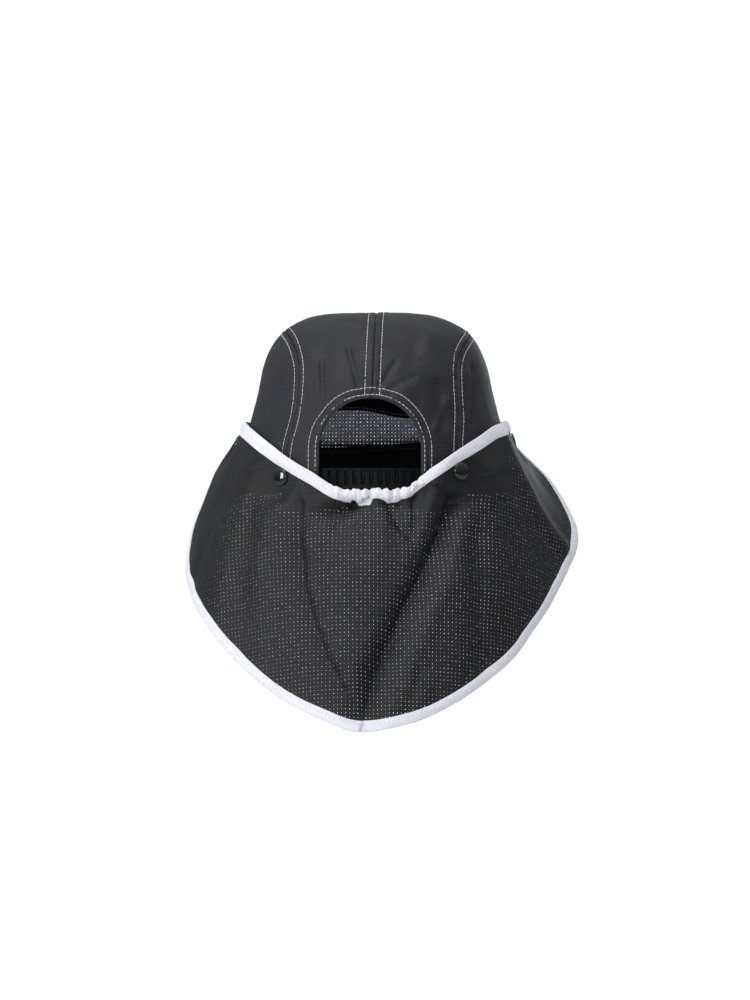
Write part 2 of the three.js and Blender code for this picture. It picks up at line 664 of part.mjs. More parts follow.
// An upright bar with round ends at a place along the strap, between two depths.
function strapBar(x, width, height, outer, inner) {
  const round = width / 2;
  const outline = new THREE.Shape();
  outline.absarc(0, height / 2 - round, round, 0, PI);
  outline.absarc(0, round - height / 2, round, PI, 2 * PI);
  const depth = inner - outer;
  const bar = new THREE.ExtrudeGeometry(outline, { depth, bevelEnabled: false, curveSegments: 2 });
  const out = strapNormal(x);
  const across = vector(-out.y, out.x, 0);
  const up = vector(0, 0, 1);
  const foot = strapPoint(x, STRAP_BOTTOM + STRAP_HEIGHT / 2, 0).addScaledVector(out, -inner);
  return toSolid(bar.applyMatrix4(new THREE.Matrix4().makeBasis(across, up, out).setPosition(foot)));
}

const pegPlate = lining + STRAP_THICKNESS + GAP;
function slottedBand() {
  const bars = slotPlaces.map((x) => strapBar(x, SLOT_WIDTH, SLOT_HEIGHT, 0, pegPlate));
  return toGeometry(bars.reduce((band, bar) => band.subtract(bar), strapBand(1, lining)));
}

function peggedBand() {
  const [outer, inner] = [lining + STRAP_THICKNESS * (1 - PEG_REACH), pegPlate + STRAP_THICKNESS / 2];
  const [width, height] = [SLOT_WIDTH - 2 * GAP, SLOT_HEIGHT * PEG_HEIGHT];
  const pegs = slotPlaces.map((x) => strapBar(x, width, height, outer, inner));
  return toGeometry(pegs.reduce((band, peg) => band.add(peg), strapBand(-1, pegPlate)));
}

// Peak

const PEAK_COLUMNS = steps(16);
const PEAK_ROWS = steps(6);

function peak() {
  const surface = (u, v) => {
    const side = 2 * u - 1;
    const innerX = PEAK_CORNER * side;
    const rim = wallDepth(innerX, 0, 1) + 2 * GAP;
    const angle = side * degToRad(PEAK_TURN);
    const outerX = PEAK_HALF_WIDTH * sin(angle) * (1 - PEAK_PINCH * side * side);
    const cornerY = wallDepth(PEAK_CORNER, 0, 1) + 2 * GAP + PEAK_END;
    const outerY = cornerY + (RIM_FRONT + PEAK_LENGTH - cornerY) * cos(angle) ** PEAK_FULLNESS;
    const x = lerp(innerX, outerX, v);
    const y = lerp(rim, outerY, v);
    const away = (y - rim) / PEAK_LENGTH;
    return vector(x, y, -away * (PEAK_SLOPE + PEAK_CAMBER * (x / PEAK_HALF_WIDTH) ** 2));
  };
  const normal = (u, v) => normalAt(surface, u, v);
  return layer(surface, normal, PEAK_COLUMNS, PEAK_ROWS, PEAK_THICKNESS / 2, -PEAK_THICKNESS / 2);
}

// Snaps

const seatHeight = STUD_GAP + STUD_PLATE + GAP + SOCKET_HEIGHT + GAP + FLAP_CLOTH / 2;
function turned(profile, sides, { centre, axis }) {
  const points = profile.map(([radius, height]) => new THREE.Vector2(radius, height));
  const lathe = new THREE.LatheGeometry(points, sides);
  const turn = new THREE.Quaternion().setFromUnitVectors(vector(0, 1, 0), axis);
  return lathe.applyQuaternion(turn).translate(centre.x, centre.y, centre.z);
}

function snapCap(frame) {
  const cloth = seatHeight - FLAP_CLOTH / 2 - GAP;
  const over = seatHeight + FLAP_CLOTH / 2 + GAP;
  const low = cloth - SOCKET_HEIGHT;
  const bore = STUD_HEAD_RADIUS + GAP;
  const profile = [
    [0, low + STUD_HEAD_HEIGHT],
    [bore, low + STUD_HEAD_HEIGHT],
    [bore, low],
    [SOCKET_RADIUS, low],
    [SOCKET_RADIUS, cloth],
    [SNAP_POST_RADIUS, cloth],
    [SNAP_POST_RADIUS, over],
    [CAP_RADIUS, over],
    ...CAP_DOME.map(({ radius, height }) => [CAP_RADIUS * radius, over + CAP_HEIGHT * height]),
    [0, over + CAP_HEIGHT],
  ];
  return turned(profile, CAP_SIDES, frame);
}

function snapStud(frame) {
  const top = STUD_GAP + STUD_PLATE;
  const under = -CLOTH - STUD_GAP;
  const profile = [
    [0, under - STUD_PLATE],
    [STUD_BACK_RADIUS, under - STUD_PLATE],
    [STUD_BACK_RADIUS, under],
    [SNAP_POST_RADIUS, under],
    [SNAP_POST_RADIUS, STUD_GAP],
    [STUD_RADIUS, STUD_GAP],
    [STUD_RADIUS, top],
    [STUD_HEAD_RADIUS, top],
    [STUD_HEAD_RADIUS, top + STUD_HEAD_HEIGHT - GAP],
    [0, top + STUD_HEAD_HEIGHT - GAP],
  ];
  return turned(profile, STUD_SIDES, frame);
}

// A round hole through a cloth for each snap's post.
const HOLE_REACH = 4;
function pierced(geometry, height) {
  const radius = SNAP_POST_RADIUS + GAP;
  const [low, high] = [height - HOLE_REACH, height + HOLE_REACH];
  const profile = [
    [0, low],
    [radius, low],
    [radius, high],
    [0, high],
  ];
  const drills = snapFrames.map((frame) => toSolid(turned(profile, STUD_SIDES, frame)));
  return toGeometry(drills.reduce((cloth, drill) => cloth.subtract(drill), toSolid(geometry)));
}

// Neck flap

const FLAP_FROM = FLAP_SECTIONS[0].around;
const FLAP_TO = FLAP_SECTIONS.at(-1).around;
const reachSide = RIM_SIDE + FLAP_FLARE_SIDE;
const reachBack = RIM_BACK + FLAP_FLARE_BACK;

function flapBase(around, down) {
  const row = (column) => readTable(FLAP_SECTIONS, "around", around, column);
  const top = ringPoint(around, row("top") * CROWN_HEIGHT, FLAP_STANDOFF);
  const hem = vector(row("across") * reachSide, -row("back") * reachBack, -row("down") * FLAP_DROP);
  const point = top.lerp(hem, down);
  const out = vector(point.x, point.y, 0).normalize();
  return point.addScaledVector(out, row("belly") * FLAP_BELLY * sin(PI * down));
}

const FOLD_PIECES = 10;
const flapFoldLines = FLAP_FOLDS.map(({ from, bend, to }) => {
  const points = steps(FOLD_PIECES).map((k) => {
    const along = (i) => (1 - k) ** 2 * from[i] + 2 * k * (1 - k) * bend[i] + k * k * to[i];
    return flapBase(along(0), along(1));
  });
  return points.slice(1).map((point, i) => new THREE.Line3(points[i], point));
});

function flapFolding(point) {
  return FLAP_FOLDS.reduce((sum, fold, i) => {
    const found = { away: Infinity, share: 0 };
    flapFoldLines[i].forEach((segment, k) => {
      const share = segment.closestPointToPointParameter(point, true);
      const away = segment.at(share, nearest).distanceTo(point);
      if (away < found.away) Object.assign(found, { away, share: (k + share) / FOLD_PIECES });
    });
    const depth = lerp(...fold.depth, found.share) * FLAP_DROP;
    return sum + depth * exp(-((found.away / (fold.width * FLAP_DROP)) ** 2));
  }, 0);
}

function gathering(around, down) {
  const k = (around - GATHER.from) / (GATHER.to - GATHER.from);
  if (k < 0 || k > 1) return 0;
  const swing = sin(2 * PI * GATHER.waves * k) * sin(PI * k);
  return GATHER.depth * FLAP_DROP * swing * exp(-down / GATHER.fade);
}

function flapAt(around, down) {
  const point = flapBase(around, down);
  const out = vector(point.x, point.y, 0).normalize();
  const moved = point.addScaledVector(out, flapFolding(point) + gathering(around, down));
  return seated(moved, seatHeight, SEAT_FLAT, SEAT_FADE);
}

// The flap's grid runs round it by u. By v it has the top binding's width, the cloth between and the hem's.
const BOUND = 0.1;
function flapSurface(u, v) {
  const around = lerp(FLAP_FROM, FLAP_TO, u);
  const length = flapBase(around, 0).distanceTo(flapBase(around, 1));
  const [top, hem] = [TOP_BINDING_WIDTH / length, 1 - HEM_BINDING_WIDTH / length];
  if (v < BOUND) return flapAt(around, (top * v) / BOUND);
  if (v > 1 - BOUND) return flapAt(around, lerp(1, hem, (1 - v) / BOUND));
  return flapAt(around, lerp(top, hem, (v - BOUND) / (1 - 2 * BOUND)));
}
const flapNormal = (u, v) => normalAt(flapSurface, u, v);
const flapShare = (around) => (around - FLAP_FROM) / (FLAP_TO - FLAP_FROM);
// The columns lie closer together round the gathers and the deep folds.
const COLUMN_RUNS = [
  { to: -95, count: 2 },
  { to: -80, count: 3 },
  { to: -44, count: 5 },
  { to: GATHER.from, count: 5 },
  { to: GATHER.to, count: 12 },
  { to: 44, count: 6 },
  { to: 80, count: 5 },
  { to: 95, count: 3 },
  { to: FLAP_TO, count: 2 },
];
const FLAP_COLUMNS = COLUMN_RUNS.reduce(
  (shares, { to, count }) => [...shares, ...steps(count, shares.at(-1), flapShare(to)).slice(1)],
  [0],
);
const FLAP_ROWS = [0, ...steps(11, BOUND, 1 - BOUND), 1];

function neckFlap() {
  return layer(flapSurface, flapNormal, FLAP_COLUMNS, FLAP_ROWS, FLAP_CLOTH / 2, -FLAP_CLOTH / 2);
}

// A tape folded over the flap's top edge, where edge is 0, or over its hem, where edge is 1.
function binding(edge) {
  const leg = edge ? 1 - BOUND : BOUND;
  const near = FLAP_CLOTH / 2 + GAP;
  const far = near + BINDING_THICKNESS;
  const rings = FLAP_COLUMNS.map((u) => {
    const start = flapSurface(u, edge);
    const into = flapSurface(u, leg).sub(start).normalize();
    const [atEdge, atLeg] = [flapNormal(u, edge), flapNormal(u, leg)];
    const onLeg = (height) => flapSurface(u, leg).addScaledVector(atLeg, height);
    const past = (distance, height) =>
      start.clone().addScaledVector(into, -distance).addScaledVector(atEdge, height);
    const outside = [onLeg(far), past(GAP, far), past(GAP + BINDING_FOLD, 0), past(GAP, -far), onLeg(-far)];
    const inside = [onLeg(near), past(GAP, near), past(2 * GAP, 0), past(GAP, -near), onLeg(-near)];
    return [...outside, ...inside.reverse()];
  });
  return solidFromRings(rings);
}

// The cap

const cap = new THREE.Group();
function add(name, geometry, material) {
  const mesh = new THREE.Mesh(geometry, material);
  mesh.name = name;
  cap.add(mesh);
}

add("front_panel", frontPanel(), RIPSTOP);
for (const [name, hand] of [["left", -1], ["right", 1]]) {
  add(`top_panel_${name}`, pierced(topPanel(hand), 0), RIPSTOP);
  add(`side_panel_${name}`, pierced(sidePanel(hand), 0), RIPSTOP);
}
add("peak", peak(), RIPSTOP);
add("sweatband", sweatband(), DARK_CLOTH);
add("front_seam_tape", frontSeamTape(), DARK_CLOTH);
add("opening_facing", openingFacing(), RIPSTOP);
add("adjuster_strap_slotted", slottedBand(), PLASTIC);
add("adjuster_strap_pegged", peggedBand(), PLASTIC);
add("neck_flap", pierced(neckFlap(), seatHeight), RIPSTOP);
add("flap_top_binding", binding(0), WHITE_BINDING);
add("flap_hem_binding", binding(1), WHITE_BINDING);
SNAPS.forEach(({ name }, i) => {
  add(`snap_cap_${name}`, snapCap(snapFrames[i]), SNAP_METAL);
  add(`snap_stud_${name}`, snapStud(snapFrames[i]), SNAP_METAL);
});

export default cap;
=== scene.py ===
"""Dresses the surf cap: fine cloth panels, bindings, stitches, strap and snaps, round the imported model."""
import math

import bmesh
import bpy
import numpy as np
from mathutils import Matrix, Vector


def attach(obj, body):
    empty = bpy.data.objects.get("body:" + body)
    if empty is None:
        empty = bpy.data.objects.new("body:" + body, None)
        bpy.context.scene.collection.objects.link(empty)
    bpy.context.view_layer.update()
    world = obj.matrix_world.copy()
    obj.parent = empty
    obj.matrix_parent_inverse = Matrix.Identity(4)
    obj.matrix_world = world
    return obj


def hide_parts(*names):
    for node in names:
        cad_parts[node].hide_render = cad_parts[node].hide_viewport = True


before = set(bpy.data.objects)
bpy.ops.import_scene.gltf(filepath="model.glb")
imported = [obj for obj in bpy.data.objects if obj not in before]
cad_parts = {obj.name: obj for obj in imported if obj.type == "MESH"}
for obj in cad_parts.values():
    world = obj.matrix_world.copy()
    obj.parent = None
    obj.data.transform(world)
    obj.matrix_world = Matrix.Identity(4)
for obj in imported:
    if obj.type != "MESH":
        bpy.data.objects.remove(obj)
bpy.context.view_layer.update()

bl_info = {
    "name": "Surf Cap",
    "version": (1, 0, 0),
    "blender": (4, 5, 0),
    "location": "View3D > Sidebar > Surf Cap",
    "description": "Builds a ripstop surf cap with a removable neck flap",
    "category": "Add Mesh",
}

# Shapes are worked out in millimetres, +Z up, +Y towards the peak, and become metres in the meshes.
MM = 0.001

# Crown: reach of the rim, height, and how each wall closes from the rim to the top
RIM_SIDE = 92
RIM_BACK = 97
RIM_FRONT = 101
CROWN_HEIGHT = 120
CENTRE_HEIGHT = 30
PLAN_POWER = 2.2
CLOTH = 1.2
SEAM_HALF_GAP = 0.03
WALLS = {
    "side": {"reach": RIM_SIDE, "lean": 0.136, "lean_top": 0.62, "up_power": 4.5, "in_power": 3.5},
    "back": {"reach": RIM_BACK, "lean": 0.03, "lean_top": 0.6, "up_power": 3, "in_power": 2.4},
    "front": {"reach": RIM_FRONT, "lean": 0.03, "lean_top": 0.6, "up_power": 3.6, "in_power": 2.6},
}
FRONT_PANEL_HEIGHT = 66
FRONT_SEAM_DROOP = 0.04
FRONT_CORNER_RIM = 63
SHOULDER = 0.5
SIDE_SEAM = {
    "along": (0.0, 0.2, 0.37, 0.475, 0.635, 0.71, 0.796, 0.88, 1.0),
    "left": (0.63, 0.655, 0.66, 0.632, 0.545, 0.538, 0.56, 0.615, 0.64),
    "right": (0.63, 0.65, 0.67, 0.668, 0.58, 0.575, 0.587, 0.578, 0.588),
}
MIDDLE_SEAM = {"around": (0, 90, 135, 180), "across": (0, 0.01, -0.008, -0.038)}
FRONT_CORNER = SIDE_SEAM["left"][0] * RIM_SIDE

# Soft dents and ridges of the crown, from one place on its back half to another.
# across is a share of RIM_SIDE, up of CROWN_HEIGHT. width and depth are millimetres.
CROWN_FOLDS = (
    {"across": -0.36, "up": 0.78, "to_across": -0.39, "to_up": 0.44, "width": 7, "depth": -1.6},
    {"across": -0.08, "up": 0.54, "to_across": -0.21, "to_up": 0.84, "width": 5, "depth": -1.3},
    {"across": 0.2, "up": 0.55, "to_across": 0.4, "to_up": 0.86, "width": 8, "depth": 1.5},
    {"across": 0.47, "up": 0.4, "to_across": 0.44, "to_up": 0.56, "width": 6, "depth": -2.2},
    {"across": 0.05, "up": 0.88, "to_across": 0.32, "to_up": 0.72, "width": 8, "depth": -1.4},
)
FINE_CROWN_FOLDS = (
    {"across": -0.115, "up": 0.56, "to_across": -0.19, "to_up": 0.78, "width": 1.8, "depth": -1.6},
    {"across": -0.09, "up": 0.55, "to_across": -0.155, "to_up": 0.76, "width": 3.0, "depth": 1.2},
    {"across": -0.385, "up": 0.72, "to_across": -0.368, "to_up": 0.5, "width": 1.7, "depth": -1.7},
    {"across": -0.41, "up": 0.7, "to_across": -0.39, "to_up": 0.5, "width": 3.2, "depth": 1.3},
    {"across": 0.655, "up": 0.66, "to_across": 0.655, "to_up": 0.4, "width": 2.0, "depth": 1.3},
    {"across": 0.69, "up": 0.68, "to_across": 0.685, "to_up": 0.38, "width": 2.2, "depth": -1.4},
    {"across": 0.565, "up": 0.76, "to_across": 0.56, "to_up": 0.6, "width": 1.0, "depth": -0.7},
    {"across": 0.03, "up": 0.56, "to_across": 0.14, "to_up": 0.7, "width": 2, "depth": -1.1},
    {"across": 0.1, "up": 0.55, "to_across": 0.27, "to_up": 0.62, "width": 2.2, "depth": -1.2},
    {"across": 0.41, "up": 0.34, "to_across": 0.5, "to_up": 0.5, "width": 3, "depth": 1.5},
    {"across": -0.02, "up": 0.9, "to_across": -0.2, "to_up": 0.93, "width": 4, "depth": -0.8},
    {"across": 0.3, "up": 0.84, "to_across": 0.22, "to_up": 0.62, "width": 5, "depth": -1.1},
)

# Opening at the back, and what lies inside the crown
OPENING_RADIUS = 32.7
OPENING_HEIGHT = 61
OPENING_SHIFT = -3.5
OPENING_SPRING = OPENING_HEIGHT - OPENING_RADIUS
FACING_WIDTH = 7
FACING_THICKNESS = 0.6
SWEATBAND_HEIGHT = 34
SWEATBAND_THICKNESS = 1.4
SWEATBAND_STANDOFF = 1.6
SWEATBAND_FOOT = 4
SWEATBAND_END = 4
SWEATBAND_TUCK = 18
# At the front its top edge rises this much to the right, and falls as much to the left.
SWEATBAND_LEAN = 2.6
SWEATBAND_LEAN_RUN = 0.4
TAPE_WIDTH = 15
TAPE_THICKNESS = 0.8

# Adjuster strap
STRAP_BOTTOM = 3.4
STRAP_HEIGHT = 12.4
STRAP_THICKNESS = 1.6
STRAP_SEWN_END = 14
STRAP_FREE_END = 4
STRAP_SHIFT = 3.7
SLOT_COUNT = 12
SLOT_PITCH = 5.4
SLOT_WIDTH = 2.2
SLOT_HEIGHT = 8.8
PEG_HEIGHT = 0.66
GAP = 0.3

# Peak
PEAK_LENGTH = 62
PEAK_HALF_WIDTH = 76
PEAK_THICKNESS = 3
PEAK_CORNER = 62
PEAK_SLOPE = 7
PEAK_CAMBER = 17
PEAK_END = 5

# Neck flap
FLAP_FLARE_SIDE = 44
FLAP_FLARE_BACK = 53
FLAP_DROP = 148
FLAP_STANDOFF = 3.2
FLAP_BELLY = 4
TOP_BINDING_WIDTH = 7.2
HEM_BINDING_WIDTH = 6.2
BOUND = 0.1
FLAP_SECTIONS = {
    "around": (-108, -100, -90, -78, -64, -50, -36, -24, -12, 0, 10, 20, 32, 46, 60, 75, 90, 100, 108),
    "top": (0.39, 0.391, 0.388, 0.371, 0.333, 0.271, 0.188, 0.108, 0.018, 0.014,
            0.022, 0.123, 0.216, 0.292, 0.354, 0.384, 0.391, 0.391, 0.39),
    "across": (-0.69, -0.805, -0.89, -0.917, -0.894, -0.82, -0.652, -0.422, -0.223, -0.077,
               0.09, 0.262, 0.463, 0.65, 0.803, 0.928, 0.985, 0.88, 0.69),
    "back": (-0.205, -0.17, -0.08, 0.067, 0.28, 0.493, 0.7, 0.853, 0.953, 1,
             0.98, 0.927, 0.827, 0.667, 0.467, 0.233, 0.033, -0.11, -0.205),
    "down": (-0.216, -0.06, 0.135, 0.297, 0.412, 0.527, 0.709, 0.868, 0.951, 0.994,
             0.974, 0.926, 0.824, 0.689, 0.514, 0.324, 0.169, -0.03, -0.216),
    "belly": (0, 0.5, 0.8, 1, 1, 0.9, 0.8, 0.8, 0.8, 0.8, 0.8, 0.8, 0.8, 0.9, 0.9, 0.3, -0.9, -0.8, 0),
}
# Folds of the flap: start, bend and end, each in degrees round and as a share of the way down,
# then the width, and the depth at the start and at the end. A depth below 0 is a valley.
FOLD_COLUMNS = (
    "around", "down", "bend_around", "bend_down", "to_around", "to_down", "width", "depth", "to_depth",
)
# Each fold's way is followed in this many straight pieces.
FOLD_PIECES = 12
FLAP_FOLDS = (
    (-29, 0.14, -22, 0.58, -2, 0.95, 6, -1.2, -1),
    (-20, 0.2, -13, 0.55, -2, 0.85, 13, 1.5, 2),
    (33, 0.15, 14, 0.38, 2.5, 0.95, 11, -5, -3),
    (26, 0.14, 8, 0.4, -1.5, 0.88, 10, 3.5, 1.5),
    (37, 0.3, 23, 0.56, 9, 0.93, 9, 1.2, 0.8),
    (39, 0.4, 35, 0.62, 35, 0.93, 8, -3, -2),
    (-9, 0.06, -15, 0.1, -23, 0.2, 5, -5, -2),
    (9, 0.07, 10, 0.1, 11, 0.17, 5, -3, -1),
    (-46, 0.3, -42, 0.55, -36, 0.9, 12, -3, -2.5),
    (68, 0.05, 64, 0.3, 76, 0.85, 9, 2.5, 4),
)
FINE_FLAP_FOLDS = (
    (-52, 0.12, -47, 0.36, -45, 0.8, 7, 1.2, 1),
    (-66, 0.2, -62, 0.5, -62, 0.95, 9, -1, -0.8),
    (48, 0.16, 47, 0.4, 45, 0.85, 8, 1.2, 0.8),
    (28, 0.57, 22, 0.66, 17, 0.82, 6, -0.9, -1.1),
)
# Creases of the flap: the places that each runs through, as degrees round and share of the way down, its
# width to the left and to the right of its way, its depth at the start and at the end, and the share of
# its way over which it sets in.
FLAP_CREASES = (
    (((32, 0.1), (33, 0.14), (31, 0.21), (26, 0.3), (20, 0.375), (11.6, 0.5), (5.6, 0.68), (3.2, 0.775),
      (1.7, 0.885), (1.1, 0.93)), 8, 22, -16, -5.5, 0.22),
    (((-26.6, 0.16), (-24.6, 0.32), (-21.5, 0.497), (-17.1, 0.64), (-12.7, 0.753), (-8, 0.83), (-3, 0.9)),
     6, 3, -4, -3, 0),
    (((-6, 0.055), (-9, 0.085), (-14.8, 0.13), (-19.5, 0.185)), 2.1, 8, -7.5, -1, 0),
    (((-10.8, 0.12), (-13.8, 0.23), (-16, 0.34)), 4, 3, -0.9, -0.3, 0),
    (((3.8, 0.06), (7.8, 0.147), (13.2, 0.24)), 3, 5, -5.8, -2.0, 0),
    (((13, 0.05), (14, 0.165), (12.8, 0.235)), 2.5, 5, -5.4, -1.8, 0),
    (((19, 0.08), (17.5, 0.13), (14.5, 0.2)), 4, 1.6, -1.6, -0.3, 0),
    (((-42, 0.07), (-48, 0.13), (-53, 0.21)), 2, 4, -1.2, -0.4, 0),
    (((16.5, 0.81), (15.2, 0.87), (13.8, 0.93)), 5, 2.5, -1.3, -1.0, 0),
)
CREASE_ROUND = 0.7
# Soft unevenness of the crown's and the flap's cloth: height, seed and wavelength
CROWN_UNEVEN = ((0.22, 21, 34), (0.09, 5, 11))
FLAP_UNEVEN = ((0.35, 4, 42), (0.14, 9, 15))
# The flap's unevenness sets in between these shares of the way down.
FLAP_UNEVEN_FROM = (0.04, 0.2)
GATHER = {"from": -17, "to": 19, "waves": 4, "depth": 1.5, "fade": 0.1}
RUFFLE = {"waves": 11, "depth": 0.55, "fade": 0.1}
# Scallops of the gathered top edge: bumps between its ends, and their height in millimetres.
SCALLOPS = ((11.3, 1.3, 0.4), (17.7, 0.9, 1.9), (5.1, 0.9, 3.1))
SCALLOP_LEVEL = 0.7
SCALLOP_FADE = 0.035
# Stretches of the gathered tape, in degrees round, that hang lower or are drawn up, in millimetres.
TAPE_HANGS = ((-5.6, -0.8, 2.6), (-8.0, -6.0, -1.4), (-0.6, 2.6, -1.6), (3.4, 7.4, 0.6), (8.0, 11.5, -0.7))
HANG_EDGE = 0.35
# Creases across the gathered tape: place round the crown in degrees, half width and depth in millimetres.
TAPE_CREASES = (
    (-13.5, 0.5, 0.2), (-10.2, 0.4, 0.35), (-7.3, 0.5, 0.85), (-5.7, 0.45, 0.8), (-3.9, 0.3, 0.2),
    (-2.2, 0.3, 0.3), (-0.6, 0.4, 0.5), (1.1, 0.3, 0.3), (2.9, 0.45, 0.85), (5.4, 0.4, 0.7),
    (7.0, 0.3, 0.3), (8.8, 0.35, 0.4), (11.7, 0.45, 0.8), (14.6, 0.4, 0.25), (17.4, 0.4, 0.2),
)

# Snaps: place round the crown in degrees, and height as a share of CROWN_HEIGHT
SNAPS = {
    "back_left": (-37, 0.081),
    "back_right": (32.5, 0.113),
    "side_left": (-88, 0.262),
    "side_right": (88, 0.28),
}
CAP_RADIUS = 5.5
CAP_HEIGHT = 2
SOCKET_RADIUS = 5
SOCKET_HEIGHT = 1.9
STUD_RADIUS = 4.7
STUD_PLATE = 0.8
STUD_GAP = 0.6
STUD_HEAD_RADIUS = 2.1
STUD_HEAD_HEIGHT = 1.5
SNAP_POST_RADIUS = 1.6
FLAP_CLOTH = 1
SEAT_FLAT = 9.5
SEAT_FADE = 21
SEAT_HEIGHT = STUD_GAP + STUD_PLATE + GAP + SOCKET_HEIGHT + GAP + FLAP_CLOTH / 2


# Small helpers

def smooth(x, low, high):
    k = np.clip((x - low) / (high - low), 0, 1)
    return k * k * (3 - 2 * k)


def mix(a, b, k):
    return a + (b - a) * k


def bell(x, width):
    return np.exp(-((x / width) ** 2))


def unit(vectors):
    return vectors / np.maximum(np.linalg.norm(vectors, axis=-1, keepdims=True), 1e-12)


def stack(x, y, z):
    return np.stack(np.broadcast_arrays(x, y, z), axis=-1).astype(float)


def level_way(points):
    """The level direction from the cap's upright axis to each point."""
    return unit(points * np.array([1, 1, 0]))


def running(steps):
    """How far each point of a line lies along it, from the steps between the points."""
    return np.concatenate([[0], np.cumsum(steps)])


def run_along(line):
    return running(np.linalg.norm(np.diff(line, axis=0), axis=-1))


def read_along(lengths, values, at):
    """Values given at a line's points, read at any distances along it."""
    return np.stack([np.interp(at, lengths, values[:, k]) for k in range(3)], -1)


def read_table(table, key, at, column):
    """One column of a table at any place between its rows, on a smooth curve through them."""
    keys, values = np.array(table[key], float), np.array(table[column], float)
    rise, run = np.empty_like(values), np.empty_like(values)
    rise[1:-1], run[1:-1] = values[2:] - values[:-2], keys[2:] - keys[:-2]
    rise[0], run[0] = values[1] - values[0], keys[1] - keys[0]
    rise[-1], run[-1] = values[-1] - values[-2], keys[-1] - keys[-2]
    slope = rise / run
    i = np.clip(np.searchsorted(keys, at), 1, len(keys) - 1)
    span = keys[i] - keys[i - 1]
    k = np.clip((at - keys[i - 1]) / span, 0, 1)
    return (
        (2 * k**3 - 3 * k**2 + 1) * values[i - 1]
        + (k**3 - 2 * k**2 + k) * span * slope[i - 1]
        + (3 * k**2 - 2 * k**3) * values[i]
        + (k**3 - k**2) * span * slope[i]
    )


def waviness(points, seed, wavelength, waves=14):
    """A smooth, seeded unevenness between about -1 and 1 at each point."""
    random = np.random.default_rng(seed)
    ways = unit(random.normal(size=(waves, 3)))
    lengths = wavelength * random.uniform(0.6, 1.7, waves)
    starts = random.uniform(0, 2 * np.pi, waves)
    total = np.zeros(points.shape[:-1])
    for way, length, start in zip(ways, lengths, starts):
        total += np.sin(2 * np.pi * (points @ way) / length + start)
    return total / math.sqrt(waves)


def unevenness(points, rows):
    """The sum of several wavinesses, each a row of height, seed and wavelength."""
    return sum(height * waviness(points, seed, wavelength) for height, seed, wavelength in rows)


# The crown's surface

CROWN_CENTRE = np.array([0.0, 0.0, CENTRE_HEIGHT])


def wall_reach(name, z):
    wall = WALLS[name]
    up = np.clip(z / CROWN_HEIGHT, 0, 1)
    leaning = smooth(up, 0, wall["lean_top"])
    closing = np.maximum(1 - up ** wall["up_power"], 0) ** (1 / wall["in_power"])
    return wall["reach"] * (1 - wall["lean"] * leaning) * closing


def end_reach(y, z):
    return np.where(y < 0, wall_reach("back", z), wall_reach("front", z))


def wall_depth(x, z, facing):
    side, end = wall_reach("side", z), wall_reach("front" if facing > 0 else "back", z)
    return facing * end * np.maximum(1 - (np.abs(x) / side) ** PLAN_POWER, 0) ** (1 / PLAN_POWER)


def ring_point(around, z, out=0.0):
    around, z = np.broadcast_arrays(np.asarray(around, float), np.asarray(z, float))
    s, c = np.sin(np.radians(around)), np.cos(np.radians(around))
    power = 2 / PLAN_POWER
    side = wall_reach("side", z) + out
    end = end_reach(-c, z) + out
    return stack(side * np.sign(s) * np.abs(s) ** power, -end * np.sign(c) * np.abs(c) ** power, z)


def crown_fill(points):
    """Below 1 inside the crown and above 1 outside it."""
    x, y, z = np.moveaxis(points, -1, 0)
    side, end = wall_reach("side", z), end_reach(y, z)
    with np.errstate(divide="ignore", invalid="ignore"):
        fill = (np.abs(x) / side) ** PLAN_POWER + (np.abs(y) / end) ** PLAN_POWER
    return np.where((z >= CROWN_HEIGHT) | np.isnan(fill), 2.0, fill)


def crown_along(start, way):
    way = unit(way)
    near = np.zeros(way.shape[:-1])
    far = np.full(way.shape[:-1], 2.0 * (CROWN_HEIGHT + RIM_FRONT))
    for _ in range(34):
        middle = (near + far) / 2
        inside = crown_fill(start + way * middle[..., None]) < 1
        near, far = np.where(inside, middle, near), np.where(inside, far, middle)
    return start + way * near[..., None]


def crown_normal(points, step=0.01):
    inner = points.copy()
    inner[..., 2] = np.minimum(inner[..., 2], CROWN_HEIGHT * 0.999)
    slopes = []
    for axis in range(3):
        nudge = np.zeros(3)
        nudge[axis] = step
        slopes.append(crown_fill(inner + nudge) - crown_fill(inner - nudge))
    return unit(np.stack(slopes, axis=-1))


def away_from_line(points, start, end):
    line = end - start
    share = np.clip((points - start) @ line / (line @ line), 0, 1)
    return np.linalg.norm(points - start - share[..., None] * line, axis=-1)


def crown_folding(points, folds):
    total = np.zeros(points.shape[:-1])
    for fold in folds:
        x, z = fold["across"] * RIM_SIDE, fold["up"] * CROWN_HEIGHT
        to_x, to_z = fold["to_across"] * RIM_SIDE, fold["to_up"] * CROWN_HEIGHT
        start = np.array([x, wall_depth(x, z, -1), z])
        end = np.array([to_x, wall_depth(to_x, to_z, -1), to_z])
        total += fold["depth"] * bell(away_from_line(points, start, end), fold["width"])
    return total


def cloth_relief(points):
    """The crown cloth's soft unevenness and its fine folds."""
    return unevenness(points, CROWN_UNEVEN) + crown_folding(points, FINE_CROWN_FOLDS)


def snap_frames():
    frames = {}
    for name, (around, up) in SNAPS.items():
        z = up * CROWN_HEIGHT
        along = ring_point(around + 1, z) - ring_point(around - 1, z)
        rise = ring_point(around, z + 1) - ring_point(around, z - 1)
        frames[name] = (ring_point(around, z), unit(np.cross(along, rise)))
    return frames


SNAP_FRAMES = snap_frames()


